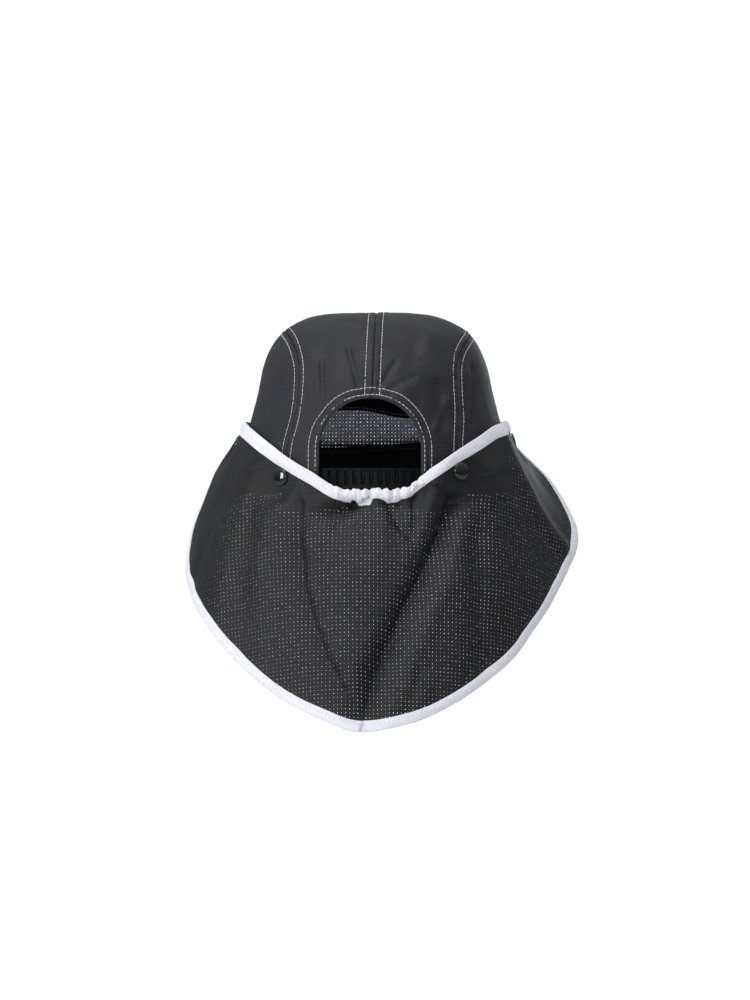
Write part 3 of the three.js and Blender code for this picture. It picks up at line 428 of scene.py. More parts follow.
def seated(points, seat, flat, fade):
    moved = points.copy()
    for centre, axis in SNAP_FRAMES.values():
        offset = points - centre
        height = offset @ axis
        away = np.linalg.norm(offset - height[..., None] * axis, axis=-1)
        press = np.where(np.abs(height) < fade, (seat - height) * (1 - smooth(away, flat, fade)), 0)
        moved += press[..., None] * axis
    return moved


def folded(points):
    out = unit(points - CROWN_CENTRE)
    lift = crown_folding(points, CROWN_FOLDS)
    return seated(points + out * lift[..., None], 0, STUD_RADIUS, 2 * STUD_RADIUS)


def crown_at(across, around):
    across, around = np.broadcast_arrays(np.asarray(across, float), np.asarray(around, float))
    turn = np.radians(around)
    start = stack(across, 0, CENTRE_HEIGHT)
    return folded(crown_along(start, stack(0, np.cos(turn), np.sin(turn))))


def around_at(x, z, facing):
    angle = np.degrees(np.arctan2(z - CENTRE_HEIGHT, wall_depth(x, z, facing)))
    return np.where(angle < -90, angle + 360, angle)


def onto_crown(points):
    return folded(crown_along(np.broadcast_to(CROWN_CENTRE, points.shape), points - CROWN_CENTRE))


# Seams and edges of the panels

ARCH_TOP = 0.66
ARCH_SPRING = 0.9


def front_seam_height(x):
    return FRONT_PANEL_HEIGHT * (1 - FRONT_SEAM_DROOP * (x / FRONT_CORNER) ** 2)


def middle_seam(around):
    return RIM_SIDE * read_table(MIDDLE_SEAM, "around", around, "across")


def side_seam(along, hand, inset=0.0):
    column = "left" if hand < 0 else "right"
    rim_x = RIM_SIDE * SIDE_SEAM[column][-1]
    start = around_at(FRONT_CORNER, front_seam_height(FRONT_CORNER), 1)
    around = mix(start, around_at(rim_x, 0, -1), along)
    return hand * (RIM_SIDE * read_table(SIDE_SEAM, "along", along, column) - inset), around


def opening_edge(down, hand, out=0.0):
    """down is 0 at the top of the arch, 1 where it turns straight and 2 at the rim."""
    angle = np.radians(90 * (1 - np.minimum(down, 1)))
    radius = OPENING_RADIUS + out
    z = np.where(down < 1, OPENING_SPRING + radius * np.sin(angle), OPENING_SPRING * (2 - down))
    return OPENING_SHIFT + hand * radius * np.cos(angle), z


def inner_edge(along, hand, inset):
    top = around_at(OPENING_SHIFT, OPENING_HEIGHT, -1)
    over = mix(around_at(0, FRONT_PANEL_HEIGHT, 1), top, along / ARCH_TOP)
    down = np.where(
        along < ARCH_SPRING,
        (along - ARCH_TOP) / (ARCH_SPRING - ARCH_TOP),
        1 + (along - ARCH_SPRING) / (1 - ARCH_SPRING),
    )
    x, z = opening_edge(np.maximum(down, 0), hand)
    x = hand * np.maximum(hand * x, hand * middle_seam(180) + inset)
    above = along < ARCH_TOP
    across = np.where(above, middle_seam(over) + hand * inset, x)
    return across, np.where(above, over, around_at(x, z, -1))


def front_edge(up, hand, inset):
    _, corner = side_seam(np.zeros_like(up), hand)
    x = hand * (mix(FRONT_CORNER_RIM, FRONT_CORNER, up) + inset)
    return crown_at(x, mix(around_at(x, 0, 1), corner, up))


def top_panel(u, v, hand):
    inner, outer = inner_edge(v, hand, SEAM_HALF_GAP), side_seam(v, hand, SEAM_HALF_GAP)
    zero = np.zeros_like(v)
    front_inner, front_outer = inner_edge(zero, hand, SEAM_HALF_GAP), side_seam(zero, hand, SEAM_HALF_GAP)
    front_x = mix(front_inner[0], front_outer[0], u)
    bow = around_at(front_x, front_seam_height(front_x), 1) - mix(front_inner[1], front_outer[1], u)
    around = mix(inner[1], outer[1], u) + bow * np.maximum(1 - v / ARCH_TOP, 0) ** 2
    return crown_at(mix(inner[0], outer[0], u), around)


def front_panel(u, v):
    x = (mix(FRONT_CORNER, FRONT_CORNER_RIM, v) - SEAM_HALF_GAP) * (2 * u - 1)
    return crown_at(x, mix(around_at(x, front_seam_height(x), 1), around_at(x, 0, 1), v))


def ring_angle(point):
    power = PLAN_POWER / 2
    end = RIM_BACK if point[1] < 0 else RIM_FRONT
    across = (abs(point[0]) / RIM_SIDE) ** power
    return math.degrees(math.atan2(across, -math.copysign((abs(point[1]) / end) ** power, point[1])))


def side_panel(u, v, hand):
    gap = SEAM_HALF_GAP

    def seam(along):
        return crown_at(*side_seam(along, hand, -gap))

    one = np.ones(1)
    front_foot, back_foot = front_edge(0 * one, hand, gap)[0], seam(one)[0]
    angles = ring_angle(front_foot), ring_angle(back_foot)
    corners = [folded(ring_point(hand * angles[k], 0)) for k in (0, 1)]
    corners += [seam(0 * one)[0], seam(SHOULDER * one)[0]]
    bottom = folded(ring_point(hand * mix(angles[0], angles[1], u), np.zeros_like(u)))
    point = bottom * (1 - v)[..., None] + seam(u * SHOULDER) * v[..., None]
    point += front_edge(v, hand, gap) * (1 - u)[..., None] + seam(mix(1, SHOULDER, v)) * u[..., None]
    point -= corners[0] * ((1 - u) * (1 - v))[..., None] + corners[1] * (u * (1 - v))[..., None]
    point -= corners[2] * ((1 - u) * v)[..., None] + corners[3] * (u * v)[..., None]
    return onto_crown(point)


# The neck flap's surface

def flap_base(around, down):
    row = {c: read_table(FLAP_SECTIONS, "around", around, c) for c in FLAP_SECTIONS if c != "around"}
    top = ring_point(around, row["top"] * CROWN_HEIGHT, FLAP_STANDOFF)
    across, back = RIM_SIDE + FLAP_FLARE_SIDE, RIM_BACK + FLAP_FLARE_BACK
    hem = stack(row["across"] * across, -row["back"] * back, -row["down"] * FLAP_DROP)
    point = mix(top, hem, np.asarray(down)[..., None])
    return point + level_way(point) * (row["belly"] * FLAP_BELLY * np.sin(np.pi * down))[..., None]


def beside_line(points, line):
    """How far points lie from a line down the flap, how far along it, and whether to its left."""
    away = np.full(points.shape[:-1], np.inf)
    share = np.zeros(points.shape[:-1])
    left = np.zeros(points.shape[:-1], bool)
    outward = level_way(line)
    for i, step in enumerate(np.diff(line, axis=0)):
        at = np.clip((points - line[i]) @ step / (step @ step), 0, 1)
        offset = points - line[i] - at[..., None] * step
        far = np.linalg.norm(offset, axis=-1)
        nearer = far < away
        share = np.where(nearer, (i + at) / (len(line) - 1), share)
        left = np.where(nearer, offset @ np.cross(step, outward[i]) > 0, left)
        away = np.minimum(away, far)
    return away, share, left


def flap_folding(points, folds):
    total = np.zeros(points.shape[:-1])
    k = np.linspace(0, 1, FOLD_PIECES + 1)
    for values in folds:
        fold = dict(zip(FOLD_COLUMNS, values))
        bend = [(1 - k) ** 2 * fold[n] + 2 * k * (1 - k) * fold["bend_" + n] + k * k * fold["to_" + n]
                for n in ("around", "down")]
        away, share, _ = beside_line(points, flap_base(*bend))
        total += mix(fold["depth"], fold["to_depth"], share) * bell(away, fold["width"])
    return total


def flap_creasing(points):
    """Sharp valleys, each with a width of its own to either side."""
    total = np.zeros(points.shape[:-1])
    for places, left_width, right_width, depth, to_depth, ease in FLAP_CREASES:
        rows = np.linspace(0, len(places) - 1, 4 * len(places))
        line = flap_base(*[np.interp(rows, range(len(places)), column) for column in zip(*places)])
        away, share, left = beside_line(points, line)
        rounded = np.sqrt(away**2 + CREASE_ROUND**2) - CREASE_ROUND
        fall = np.exp(-rounded / np.where(left, left_width, right_width))
        begun = smooth(share, 0, ease) if ease else 1
        total += mix(depth, to_depth, share) * fall * begun
    return total


def gather_share(around):
    """How far along the gathered stretch a place lies, and whether it lies in it."""
    k = (around - GATHER["from"]) / (GATHER["to"] - GATHER["from"])
    return k, (k > 0) & (k < 1)


def gathering(around, down, wave):
    k, inside = gather_share(around)
    swing = np.sin(2 * np.pi * wave["waves"] * k) * np.sin(np.pi * np.clip(k, 0, 1))
    return np.where(inside, wave["depth"] * swing * np.exp(-down / wave["fade"]), 0)


def gather_zone(around):
    """1 in the middle of the gathered stretch, falling to 0 at its ends."""
    k, inside = gather_share(around)
    return np.where(inside, np.sin(np.pi * np.clip(k, 0, 1)) ** 0.6, 0)


def scalloping(around, down):
    k, _ = gather_share(around)
    bumps = [height * (np.abs(np.sin(np.pi * waves * k + start)) - SCALLOP_LEVEL)
             for waves, height, start in SCALLOPS]
    return gather_zone(around) * sum(bumps) * np.exp(-down / SCALLOP_FADE)


def tape_hang(around):
    """How much wider the gathered tape is at a place round the crown."""
    total = np.zeros_like(around)
    for start, stop, amount in TAPE_HANGS:
        begun = smooth(around, start - HANG_EDGE, start + HANG_EDGE)
        unended = smooth(-around, -stop - HANG_EDGE, HANG_EDGE - stop)
        total += amount * begun * unended
    return total


def flap_at(around, down):
    base = flap_base(around, down)
    out = level_way(base)
    lift = flap_folding(base, FLAP_FOLDS) + gathering(around, down, GATHER)
    lift = lift + flap_folding(base, FINE_FLAP_FOLDS) + flap_creasing(base)
    lift = lift + gathering(around, down, RUFFLE)
    lift = lift + smooth(down, *FLAP_UNEVEN_FROM) * unevenness(base, FLAP_UNEVEN)
    base = base + np.array([0, 0, 1.0]) * scalloping(around, down)[..., None]
    return seated(base + out * lift[..., None], SEAT_HEIGHT, SEAT_FLAT, SEAT_FADE)


FLAP_FROM, FLAP_TO = FLAP_SECTIONS["around"][0], FLAP_SECTIONS["around"][-1]


def flap_surface(u, v):
    """u runs round the flap. v takes the top binding's width, the cloth between and the hem's, in turn."""
    around = mix(FLAP_FROM, FLAP_TO, u)
    zero = np.zeros_like(around)
    length = np.linalg.norm(flap_base(around, zero + 1) - flap_base(around, zero), axis=-1)
    top, hem = (TOP_BINDING_WIDTH + tape_hang(around)) / length, 1 - HEM_BINDING_WIDTH / length
    down = np.where(v < BOUND, top * v / BOUND, mix(top, hem, (v - BOUND) / (1 - 2 * BOUND)))
    down = np.where(v > 1 - BOUND, mix(1, hem, (1 - v) / BOUND), down)
    return flap_at(around, down)


# Grids and meshes

def grid_normals(points):
    return unit(np.cross(np.gradient(points, axis=0), np.gradient(points, axis=1)))


def arc_lengths(points, axis):
    """How far each row of a grid lies along it, measured down its middle."""
    return run_along(np.take(points, points.shape[1 - axis] // 2, axis=1 - axis))


def edge_distance(points, axis, end):
    """The distance over the cloth from each point to the grid's edge."""
    steps = np.linalg.norm(np.diff(points, axis=axis), axis=-1)
    if end:
        steps = np.flip(steps, axis)
    total = np.concatenate([np.zeros_like(np.take(steps, [0], axis)), np.cumsum(steps, axis)], axis)
    return np.flip(total, axis) if end else total


def even_grain(points):
    u, v = arc_lengths(points, 0), arc_lengths(points, 1)
    return np.stack(np.meshgrid(u, v, indexing="ij"), axis=-1)


def spaced(count, finer=2.0, fine_ends=4):
    """Shares from 0 to 1 that lie closer together near both ends."""
    k = np.linspace(0, 1, count)
    near = np.minimum(k, 1 - k) * (count - 1) / fine_ends
    weight = np.where(near < 1, 1 / finer, 1.0)
    total = running((weight[1:] + weight[:-1]) / 2)
    return total / total[-1]


def shell_faces(rows, columns):
    """Faces of the outer and the inner grid of a layer, and of the wall round their edges."""
    index = np.arange(rows * columns).reshape(rows, columns)
    a, b, c, d = index[:-1, :-1], index[1:, :-1], index[1:, 1:], index[:-1, 1:]
    count = rows * columns
    outer = np.stack([a, b, c, d], -1).reshape(-1, 4)
    inner = np.stack([a, d, c, b], -1).reshape(-1, 4) + count
    rim = np.concatenate([index[:, 0][::-1], index[0, 1:], index[1:, -1], index[-1, 1:-1][::-1]])
    after = np.roll(rim, -1)
    return outer, inner, np.stack([rim, after, after + count, rim + count], -1)


def tube_faces(count, size, first=0):
    """Faces between closed rings of points, and the points of the first and the last ring."""
    index = np.arange(count * size).reshape(count, size) + first
    after = np.roll(index, -1, axis=1)
    sides = np.stack([index[:-1], after[:-1], after[1:], index[1:]], -1).reshape(-1, 4)
    return sides.tolist(), index[0].tolist(), index[-1].tolist()


def place_object(name, data):
    """Puts a mesh, a lamp or a camera into the scene."""
    placed = bpy.data.objects.new(name, data)
    bpy.context.scene.collection.objects.link(placed)
    return placed


def build_mesh(name, points, faces, grain, material, sharp=35):
    """A mesh object in metres from millimetres. grain gives each point's place in the flat cloth."""
    mesh = bpy.data.meshes.new(name)
    mesh.from_pydata((np.asarray(points) * MM).tolist(), [], [list(map(int, f)) for f in faces])
    if grain is not None:
        layer = mesh.uv_layers.new(name="grain")
        corners = np.empty(len(mesh.loops), np.int64)
        mesh.loops.foreach_get("vertex_index", corners)
        layer.data.foreach_set("uv", (np.asarray(grain, np.float32)[corners] * MM).ravel())
    mesh.update()
    mesh.polygons.foreach_set("use_smooth", np.ones(len(mesh.polygons), bool))
    mesh.set_sharp_from_angle(angle=math.radians(sharp))
    mesh.materials.append(material)
    return place_object(name, mesh)


def build_shell(name, outer, inner, grain, material, lining=None):
    """A closed layer between two grids of points. lining is the material of its inner face."""
    rows, columns = outer.shape[:2]
    top, bottom, walls = shell_faces(rows, columns)
    faces = np.concatenate([top, bottom, walls])
    probe = top[len(top) // 2]
    flat_outer, flat_inner = outer.reshape(-1, 3), inner.reshape(-1, 3)
    corner = flat_outer[probe[0]]
    facing = np.cross(flat_outer[probe[1]] - corner, flat_outer[probe[3]] - corner)
    if facing @ (corner - flat_inner[probe[0]]) < 0:
        faces = faces[:, ::-1]
    points = np.concatenate([flat_outer, flat_inner])
    places = np.concatenate([grain.reshape(-1, 2)] * 2)
    piece = build_mesh(name, points, faces, places, material)
    if lining:
        piece.data.materials.append(lining)
        slots = np.zeros(len(faces), np.int32)
        slots[len(top):len(top) + len(bottom)] = 1
        piece.data.polygons.foreach_set("material_index", slots)
    return piece


def build_sweep(name, rings, grain, material, sharp):
    """A closed body swept through closed rings of points, with a flat face at each end."""
    sides, first, last = tube_faces(*rings.shape[:2])
    faces = sides + [first[::-1], last]
    return build_mesh(name, rings.reshape(-1, 3), faces, grain.reshape(-1, 2), material, sharp)


def fix_facing(piece):
    """Turns a closed body's faces outwards."""
    body = bmesh.new()
    body.from_mesh(piece.data)
    bmesh.ops.recalc_face_normals(body, faces=body.faces)
    body.to_mesh(piece.data)
    body.free()


def settle(piece, slot, *nodes):
    """Hangs a finished piece on the frame, in place of the CAD nodes that it stands for."""
    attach(piece, "root")
    if nodes:
        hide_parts(*nodes)
    return piece


# Stitches

STITCH_SIDES = 6
# Places of a stitch's rings, from one end of it to the other
STITCH_RINGS = np.array([-1, -0.72, 0, 0.72, 1.0])
# In thread radii: how high a stitch's middle lies, and how far its ends dip below that
STITCH_CREST = 0.55
STITCH_DIP = 1.1
STITCH_TAPER = 0.75
STITCH_FLATNESS = 0.8
STITCH_SHARP = 80
# Radius of the sweatband's and the tapes' finer threads, and of the peak's, in millimetres
FINE_THREAD = 0.2
PEAK_THREAD = 0.22


def build_stitches(name, lines, sizes, material, radius=None):
    """One mesh of short threads along lines. Each line is its points and the cloth's normals there."""
    radius = radius or sizes.thread_radius / MM
    length, gap = sizes.stitch / MM, sizes.stitch_gap / MM
    turn = np.linspace(0, 2 * np.pi, STITCH_SIDES, endpoint=False)
    swell = radius * (1 - STITCH_TAPER * STITCH_RINGS**2) ** 0.5
    rise = radius * (STITCH_CREST - STITCH_DIP * STITCH_RINGS**2)
    points = []
    for line, normals in lines:
        lengths = run_along(line)
        count = max(int(lengths[-1] // (length + gap)), 1)
        pitch = lengths[-1] / count
        for i in range(count):
            places = (i + 0.5) * pitch + STITCH_RINGS * (pitch - gap) / 2
            middle = read_along(lengths, line, places)
            out = unit(read_along(lengths, normals, places))
            side = unit(np.cross(out, unit(middle[-1] - middle[0])))
            ring = middle + out * rise[:, None]
            across = np.cos(turn)[None, :, None] * side[:, None]
            upright = STITCH_FLATNESS * np.sin(turn)[None, :, None] * out[:, None]
            body = ring[:, None] + swell[:, None, None] * (across + upright)
            points.append(body.reshape(-1, 3))
    sides, first, last = tube_faces(len(STITCH_RINGS), STITCH_SIDES)
    stitch = sides + [first[::-1], last]
    size = len(STITCH_RINGS) * STITCH_SIDES
    faces = [[k + n * size for k in face] for n in range(len(points)) for face in stitch]
    piece = build_mesh(name, np.concatenate(points), faces, None, material, STITCH_SHARP)
    fix_facing(piece)
    return piece


# Shader node groups

def new_group(name, inputs, outputs):
    group = bpy.data.node_groups.new(name, "ShaderNodeTree")
    for label, kind, value in inputs:
        socket = group.interface.new_socket(name=label, in_out="INPUT", socket_type=kind)
        socket.default_value = value
    for label, kind in outputs:
        group.interface.new_socket(name=label, in_out="OUTPUT", socket_type=kind)
    return group, Tree(group, group.nodes.new("NodeGroupInput"), group.nodes.new("NodeGroupOutput"))


class Tree:
    """Places nodes in a tree and links them, with one short call for each."""

    def __init__(self, tree, inputs=None, outputs=None):
        self.tree, self.inputs, self.outputs = tree, inputs, outputs

    def add(self, kind, links=(), **settings):
        node = self.tree.nodes.new(kind)
        for key, value in settings.items():
            setattr(node, key, value)
        for socket, value in dict(links).items():
            self.feed(node.inputs[socket], value)
        return node

    def feed(self, socket, value):
        if isinstance(value, bpy.types.NodeSocket):
            self.tree.links.new(value, socket)
        else:
            socket.default_value = value

    def math(self, operation, *values):
        node = self.add("ShaderNodeMath", operation=operation)
        for socket, value in zip(node.inputs, values):
            self.feed(socket, value)
        return node.outputs[0]

    def band(self, value, low, high):
        """1 where a value is below low, falling smoothly to 0 at high."""
        links = {"Value": value, "From Min": low, "From Max": high, "To Min": 1.0, "To Max": 0.0}
        return self.add("ShaderNodeMapRange", links, interpolation_type="SMOOTHSTEP").outputs["Result"]

    def blend(self, share, a, b):
        node = self.add("ShaderNodeMix", data_type="RGBA")
        self.feed(node.inputs[0], share)
        self.feed(node.inputs[6], a)
        self.feed(node.inputs[7], b)
        return node.outputs[2]

    def noise(self, vector, scale, detail=3.0, roughness=0.5):
        links = {"Vector": vector, "Scale": scale, "Detail": detail, "Roughness": roughness}
        return self.add("ShaderNodeTexNoise", links).outputs["Fac"]

    def bump(self, height, distance, strength):
        links = {"Height": height, "Distance": distance, "Strength": strength}
        return self.add("ShaderNodeBump", links).outputs["Normal"]

    def grain(self):
        """The place in the flat cloth, in metres."""
        return self.add("ShaderNodeUVMap", uv_map="grain").outputs[0]

    def split(self, vector):
        return self.add("ShaderNodeSeparateXYZ", {"Vector": vector}).outputs

    def join(self, x, y):
        return self.add("ShaderNodeCombineXYZ", {"X": x, "Y": y}).outputs[0]

    def off_middle(self, value):
        """How far a value lies from the middle between two whole numbers."""
        return self.math("ABSOLUTE", self.math("SUBTRACT", self.math("FRACT", value), 0.5))

    def group(self, name, **values):
        node = self.add("ShaderNodeGroup", node_tree=shared(name))
        for label, value in values.items():
            node.inputs[label.replace("_", " ")].default_value = value
        return node.outputs

    def out(self, **values):
        for label, value in values.items():
            self.feed(self.outputs.inputs[label.replace("_", " ")], value)


# Ripstop, as shares of one square of its grid: how far from its middle the thick yarn begins to fade, and
# how far it has faded out
YARN_FADE = (0.03, 0.08)
# Pinholes differ from square to square, from the first share of their size by up to the second more.
HOLE_LEAST = 0.5
HOLE_SPREAD = 0.65
HOLE_FADE = (0.8, 1.15)


def ripstop_group():
    """A woven cloth with a square grid of thicker yarns, and a pinhole where they cross."""
    group, t = new_group(
        "Ripstop weave",
        [("Pitch", "NodeSocketFloat", 0.0025), ("Hole Width", "NodeSocketFloat", 0.1),
         ("Hole Height", "NodeSocketFloat", 0.16), ("Yarns Per Cell", "NodeSocketFloat", 12.0)],
        [("Grid", "NodeSocketFloat"), ("Hole", "NodeSocketFloat"), ("Height", "NodeSocketFloat"),
         ("Tone", "NodeSocketFloat")],
    )
    size = t.inputs.outputs
    place = t.split(t.grain())
    cells = [t.math("DIVIDE", place[k], size["Pitch"]) for k in (0, 1)]
    off = [t.off_middle(c) for c in cells]
    grid = t.math("MAXIMUM", *[t.band(o, *YARN_FADE) for o in off])
    cell = t.join(*[t.math("FLOOR", c) for c in cells])
    chance = t.add("ShaderNodeTexWhiteNoise", {"Vector": cell}, noise_dimensions="3D").outputs["Value"]
    room = t.math("MULTIPLY_ADD", chance, HOLE_SPREAD, HOLE_LEAST)
    across = t.math("DIVIDE", off[0], t.math("MULTIPLY", size["Hole Width"], room))
    along = t.math("DIVIDE", off[1], t.math("MULTIPLY", size["Hole Height"], room))
    far = t.math("SQRT", t.math("ADD", t.math("POWER", across, 2.0), t.math("POWER", along, 2.0)))
    hole = t.band(far, *HOLE_FADE)
    turns = [t.math("MULTIPLY", t.math("MULTIPLY", c, size["Yarns Per Cell"]), math.pi) for c in cells]
    weave = t.math("MULTIPLY", t.math("SINE", turns[0]), t.math("SINE", turns[1]))
    height = t.math("ADD", t.math("MULTIPLY", weave, 0.35), grid)
    uneven = t.noise(t.grain(), 60.0, 4.0)
    yarn = t.join(t.math("MULTIPLY", place[0], 9000.0), t.math("MULTIPLY", place[1], 160.0))
    streaks = t.noise(yarn, 1.0, 2.0)
    grain = t.noise(t.grain(), 1500.0, 2.0, 0.7)
    tone = t.math("ADD", t.math("MULTIPLY", uneven, 0.35), t.math("MULTIPLY", streaks, 0.25))
    tone = t.math("MULTIPLY_ADD", grain, 0.4, tone)
    t.out(Grid=grid, Hole=hole, Height=height, Tone=tone)
    return group


def twill_group():
    """A narrow woven tape: fine diagonal ribs."""
    group, t = new_group(
        "Twill tape",
        [("Rib", "NodeSocketFloat", 0.0007)],
        [("Height", "NodeSocketFloat"), ("Tone", "NodeSocketFloat")],
    )
    grain = t.grain()
    place = t.split(grain)
    diagonal = t.math("DIVIDE", t.math("ADD", place[0], place[1]), t.inputs.outputs["Rib"])
    rib = t.math("SINE", t.math("MULTIPLY", diagonal, 2 * math.pi))
    fine = t.math("SINE", t.math("MULTIPLY", place[0], 2 * math.pi / 0.00035))
    height = t.math("ADD", t.math("MULTIPLY", rib, 0.5), t.math("MULTIPLY", fine, 0.25))
    t.out(Height=height, Tone=t.noise(grain, 900.0, 3.0))
    return group


def speckle_group():
    """Fine unevenness of a moulded or lacquered surface."""
    group, t = new_group(
        "Moulded speckle",
        [("Scale", "NodeSocketFloat", 900.0)],
        [("Height", "NodeSocketFloat"), ("Wear", "NodeSocketFloat")],
    )
    place = t.add("ShaderNodeTexCoord").outputs["Object"]
    fine = t.noise(place, t.inputs.outputs["Scale"], 3.0)
    t.out(Height=fine, Wear=t.noise(place, 70.0, 5.0, 0.65))
    return group


GROUPS = {}


def shared(name):
    makers = {"ripstop": ripstop_group, "twill": twill_group, "speckle": speckle_group}
    if name not in GROUPS:
        GROUPS[name] = makers[name]()
    return GROUPS[name]


# Materials

def new_material(name, **shader):
    """A material with one Principled shader, whose plain values are set on its own sockets."""
    material = bpy.data.materials.new(name)
    material.use_nodes = True
    t = Tree(material.node_tree)
    body = material.node_tree.nodes["Principled BSDF"]
    for label, value in shader.items():
        body.inputs[label.replace("_", " ")].default_value = value
    return material, t, body.inputs


def rgba(colour):
    return (*colour, 1.0)


def shades(colour, dark, light):
    """A darker and a lighter tone of a colour."""
    return [rgba([min(c * k, 1) for c in colour]) for k in (dark, light)]


# On a copy lit from behind by painted light, a pinhole's painted glow is drawn this much larger,
# and a thick yarn, painted dark against that glow, has this share of the cloth's tone.
PAINTED_GLOW_SPREAD = 1.42
PAINTED_YARN_SHADE = 0.15


def ripstop_material(name, colours, sizes, lines=0.45, dark=1.0, painted_backlight=False):
    """lines says how much the thicker yarns of the grid stand out, and dark scales the cloth's colour: the
    flap's copy, at 0.54, is darkened as painted shade, and the front lining's, at twelvefold, is lightened as
    painted light.
    Where the cloth is lit from behind, its thicker yarns are painted dark against that painted light, and its
    pinholes glow as painted light; elsewhere the pinholes are cut through."""
    material, t, body = new_material(name, Sheen_Weight=0.02, Sheen_Roughness=0.4, Specular_IOR_Level=0.28)
    glow_spread = PAINTED_GLOW_SPREAD if painted_backlight else 1
    pitch = sizes.ripstop_pitch
    width, height = glow_spread * sizes.pinhole_width / pitch, glow_spread * sizes.pinhole_height / pitch
    made = t.group("ripstop", Pitch=pitch, Hole_Width=width, Hole_Height=height)
    # dark scales the cloth's colour: at 0.54 on the flap it is painted shade, at 12 on the front lining
    # painted light. On a copy lit from behind, the grid yarns are painted dark against that light.
    base = [c * dark for c in colours.cloth]
    light = [c * PAINTED_YARN_SHADE for c in base] if painted_backlight else [c * dark for c in colours.cloth_light]
    tone = t.blend(made["Tone"], *shades(base, 0.3, 1.7))
    t.feed(body["Base Color"], t.blend(t.math("MULTIPLY", made["Grid"], lines), tone, rgba(light)))
    # Painted light: the pinholes glow, standing in for daylight through the cloth.
    if painted_backlight:
        t.feed(body["Emission Strength"], made["Hole"])
    else:
        t.feed(body["Alpha"], t.math("SUBTRACT", 1.0, made["Hole"]))
    t.feed(body["Roughness"], t.math("MULTIPLY_ADD", made["Tone"], 0.16, 0.42))
    t.feed(body["Normal"], t.bump(made["Height"], 0.00006, 0.7))
    return material


# Where a needle hole begins to fade and where it has faded out: as shares of the stitches' pitch along the
# row, and in metres across it
NEEDLE_FADE_ALONG = (0.05, 0.12)
NEEDLE_FADE_ACROSS = (0.0002, 0.0004)


def binding_material(colours, sizes):
    material, t, body = new_material("White tape", Sheen_Weight=0.25, Roughness=0.75)
    weave = t.group("twill")
    along, across, _ = t.split(t.grain())
    off = t.off_middle(t.math("DIVIDE", along, sizes.stitch + sizes.stitch_gap))
    edge = t.math("ABSOLUTE", t.math("SUBTRACT", t.math("ABSOLUTE", across), sizes.binding_row))
    hole = t.math("MULTIPLY", t.band(off, *NEEDLE_FADE_ALONG), t.band(edge, *NEEDLE_FADE_ACROSS))
    cloth = t.blend(weave["Tone"], *shades(colours.binding, 0.93, 1))
    t.feed(body["Base Color"], t.blend(hole, cloth, rgba(colours.needle_hole)))
    t.feed(body["Normal"], t.bump(weave["Height"], 0.00008, 0.6))
    return material


def knit_material(name, colour):
    """A dark knitted cloth, for the sweatband and the seam tape."""
    material, t, body = new_material(name, Sheen_Weight=0.03, Sheen_Roughness=0.5, Specular_IOR_Level=0.08)
    weave = t.group("twill", Rib=0.0011)
    t.feed(body["Base Color"], t.blend(weave["Tone"], *shades(colour, 0.6, 1.5)))
    t.feed(body["Roughness"], t.math("MULTIPLY_ADD", weave["Tone"], 0.2, 0.75))
    t.feed(body["Normal"], t.bump(weave["Height"], 0.00012, 0.8))
    return material


def thread_material(name, colour):
    material, t, body = new_material(name, Sheen_Weight=0.2, Specular_IOR_Level=0.4)
    place = t.add("ShaderNodeTexCoord").outputs["Object"]
    ply = t.noise(place, 4200.0, 2.0)
    t.feed(body["Base Color"], t.blend(ply, *shades(colour, 0.8, 1.1)))
    t.feed(body["Roughness"], t.math("MULTIPLY_ADD", ply, 0.2, 0.5))
    t.feed(body["Normal"], t.bump(ply, 0.0001, 0.6))
    return material


def plastic_material(name, colour, rough, coat=0.0, wear=0.12, specular=0.5):
    material, t, body = new_material(name, Coat_Weight=coat, Coat_Roughness=0.04, Specular_IOR_Level=specular)
    speckle = t.group("speckle")
    t.feed(body["Base Color"], t.blend(speckle["Wear"], *shades(colour, 0.75, 1.35)))
    t.feed(body["Roughness"], t.math("MULTIPLY_ADD", speckle["Wear"], wear, rough))
    t.feed(body["Normal"], t.bump(speckle["Height"], 0.00002, 0.35))
    return material


# Settings that a user would change

def colour(name, default, description):
    return bpy.props.FloatVectorProperty(
        name=name, description=description, default=default, size=3, min=0, max=1, subtype="COLOR"
    )


def length(name, default, description):
    return bpy.props.FloatProperty(
        name=name, description=description, default=default, min=0, unit="LENGTH", precision=5
    )


class CapSizes(bpy.types.PropertyGroup):
    """Sizes of the cloth, the thread and the camera's view."""

    stitch: length("Stitch", 0.0027, "Length of one topstitch that shows")
    stitch_gap: length("Stitch gap", 0.0003, "Space between two topstitches")
    thread_radius: length("Thread radius", 0.00027, "Half the thickness of the topstitching thread")
    ripstop_pitch: length("Ripstop pitch", 0.0025, "Size of one square of the ripstop grid")
    pinhole_width: length("Pinhole width", 0.00017, "Half the width of a pinhole in the grid")
    pinhole_height: length("Pinhole height", 0.00027, "Half the height of a pinhole in the grid")
    flap_cloth: length("Flap cloth", 0.00012, "Thickness of the flap's cloth")
    binding_row: length("Binding row", 0.0036, "Distance from the folded edge of a tape to its needle holes")
    camera_distance: length("Camera distance", 2.0, "Distance from the camera to the middle of the cap")
    floor_drop: length("Floor drop", 0.75, "Depth of the floor below the rim")


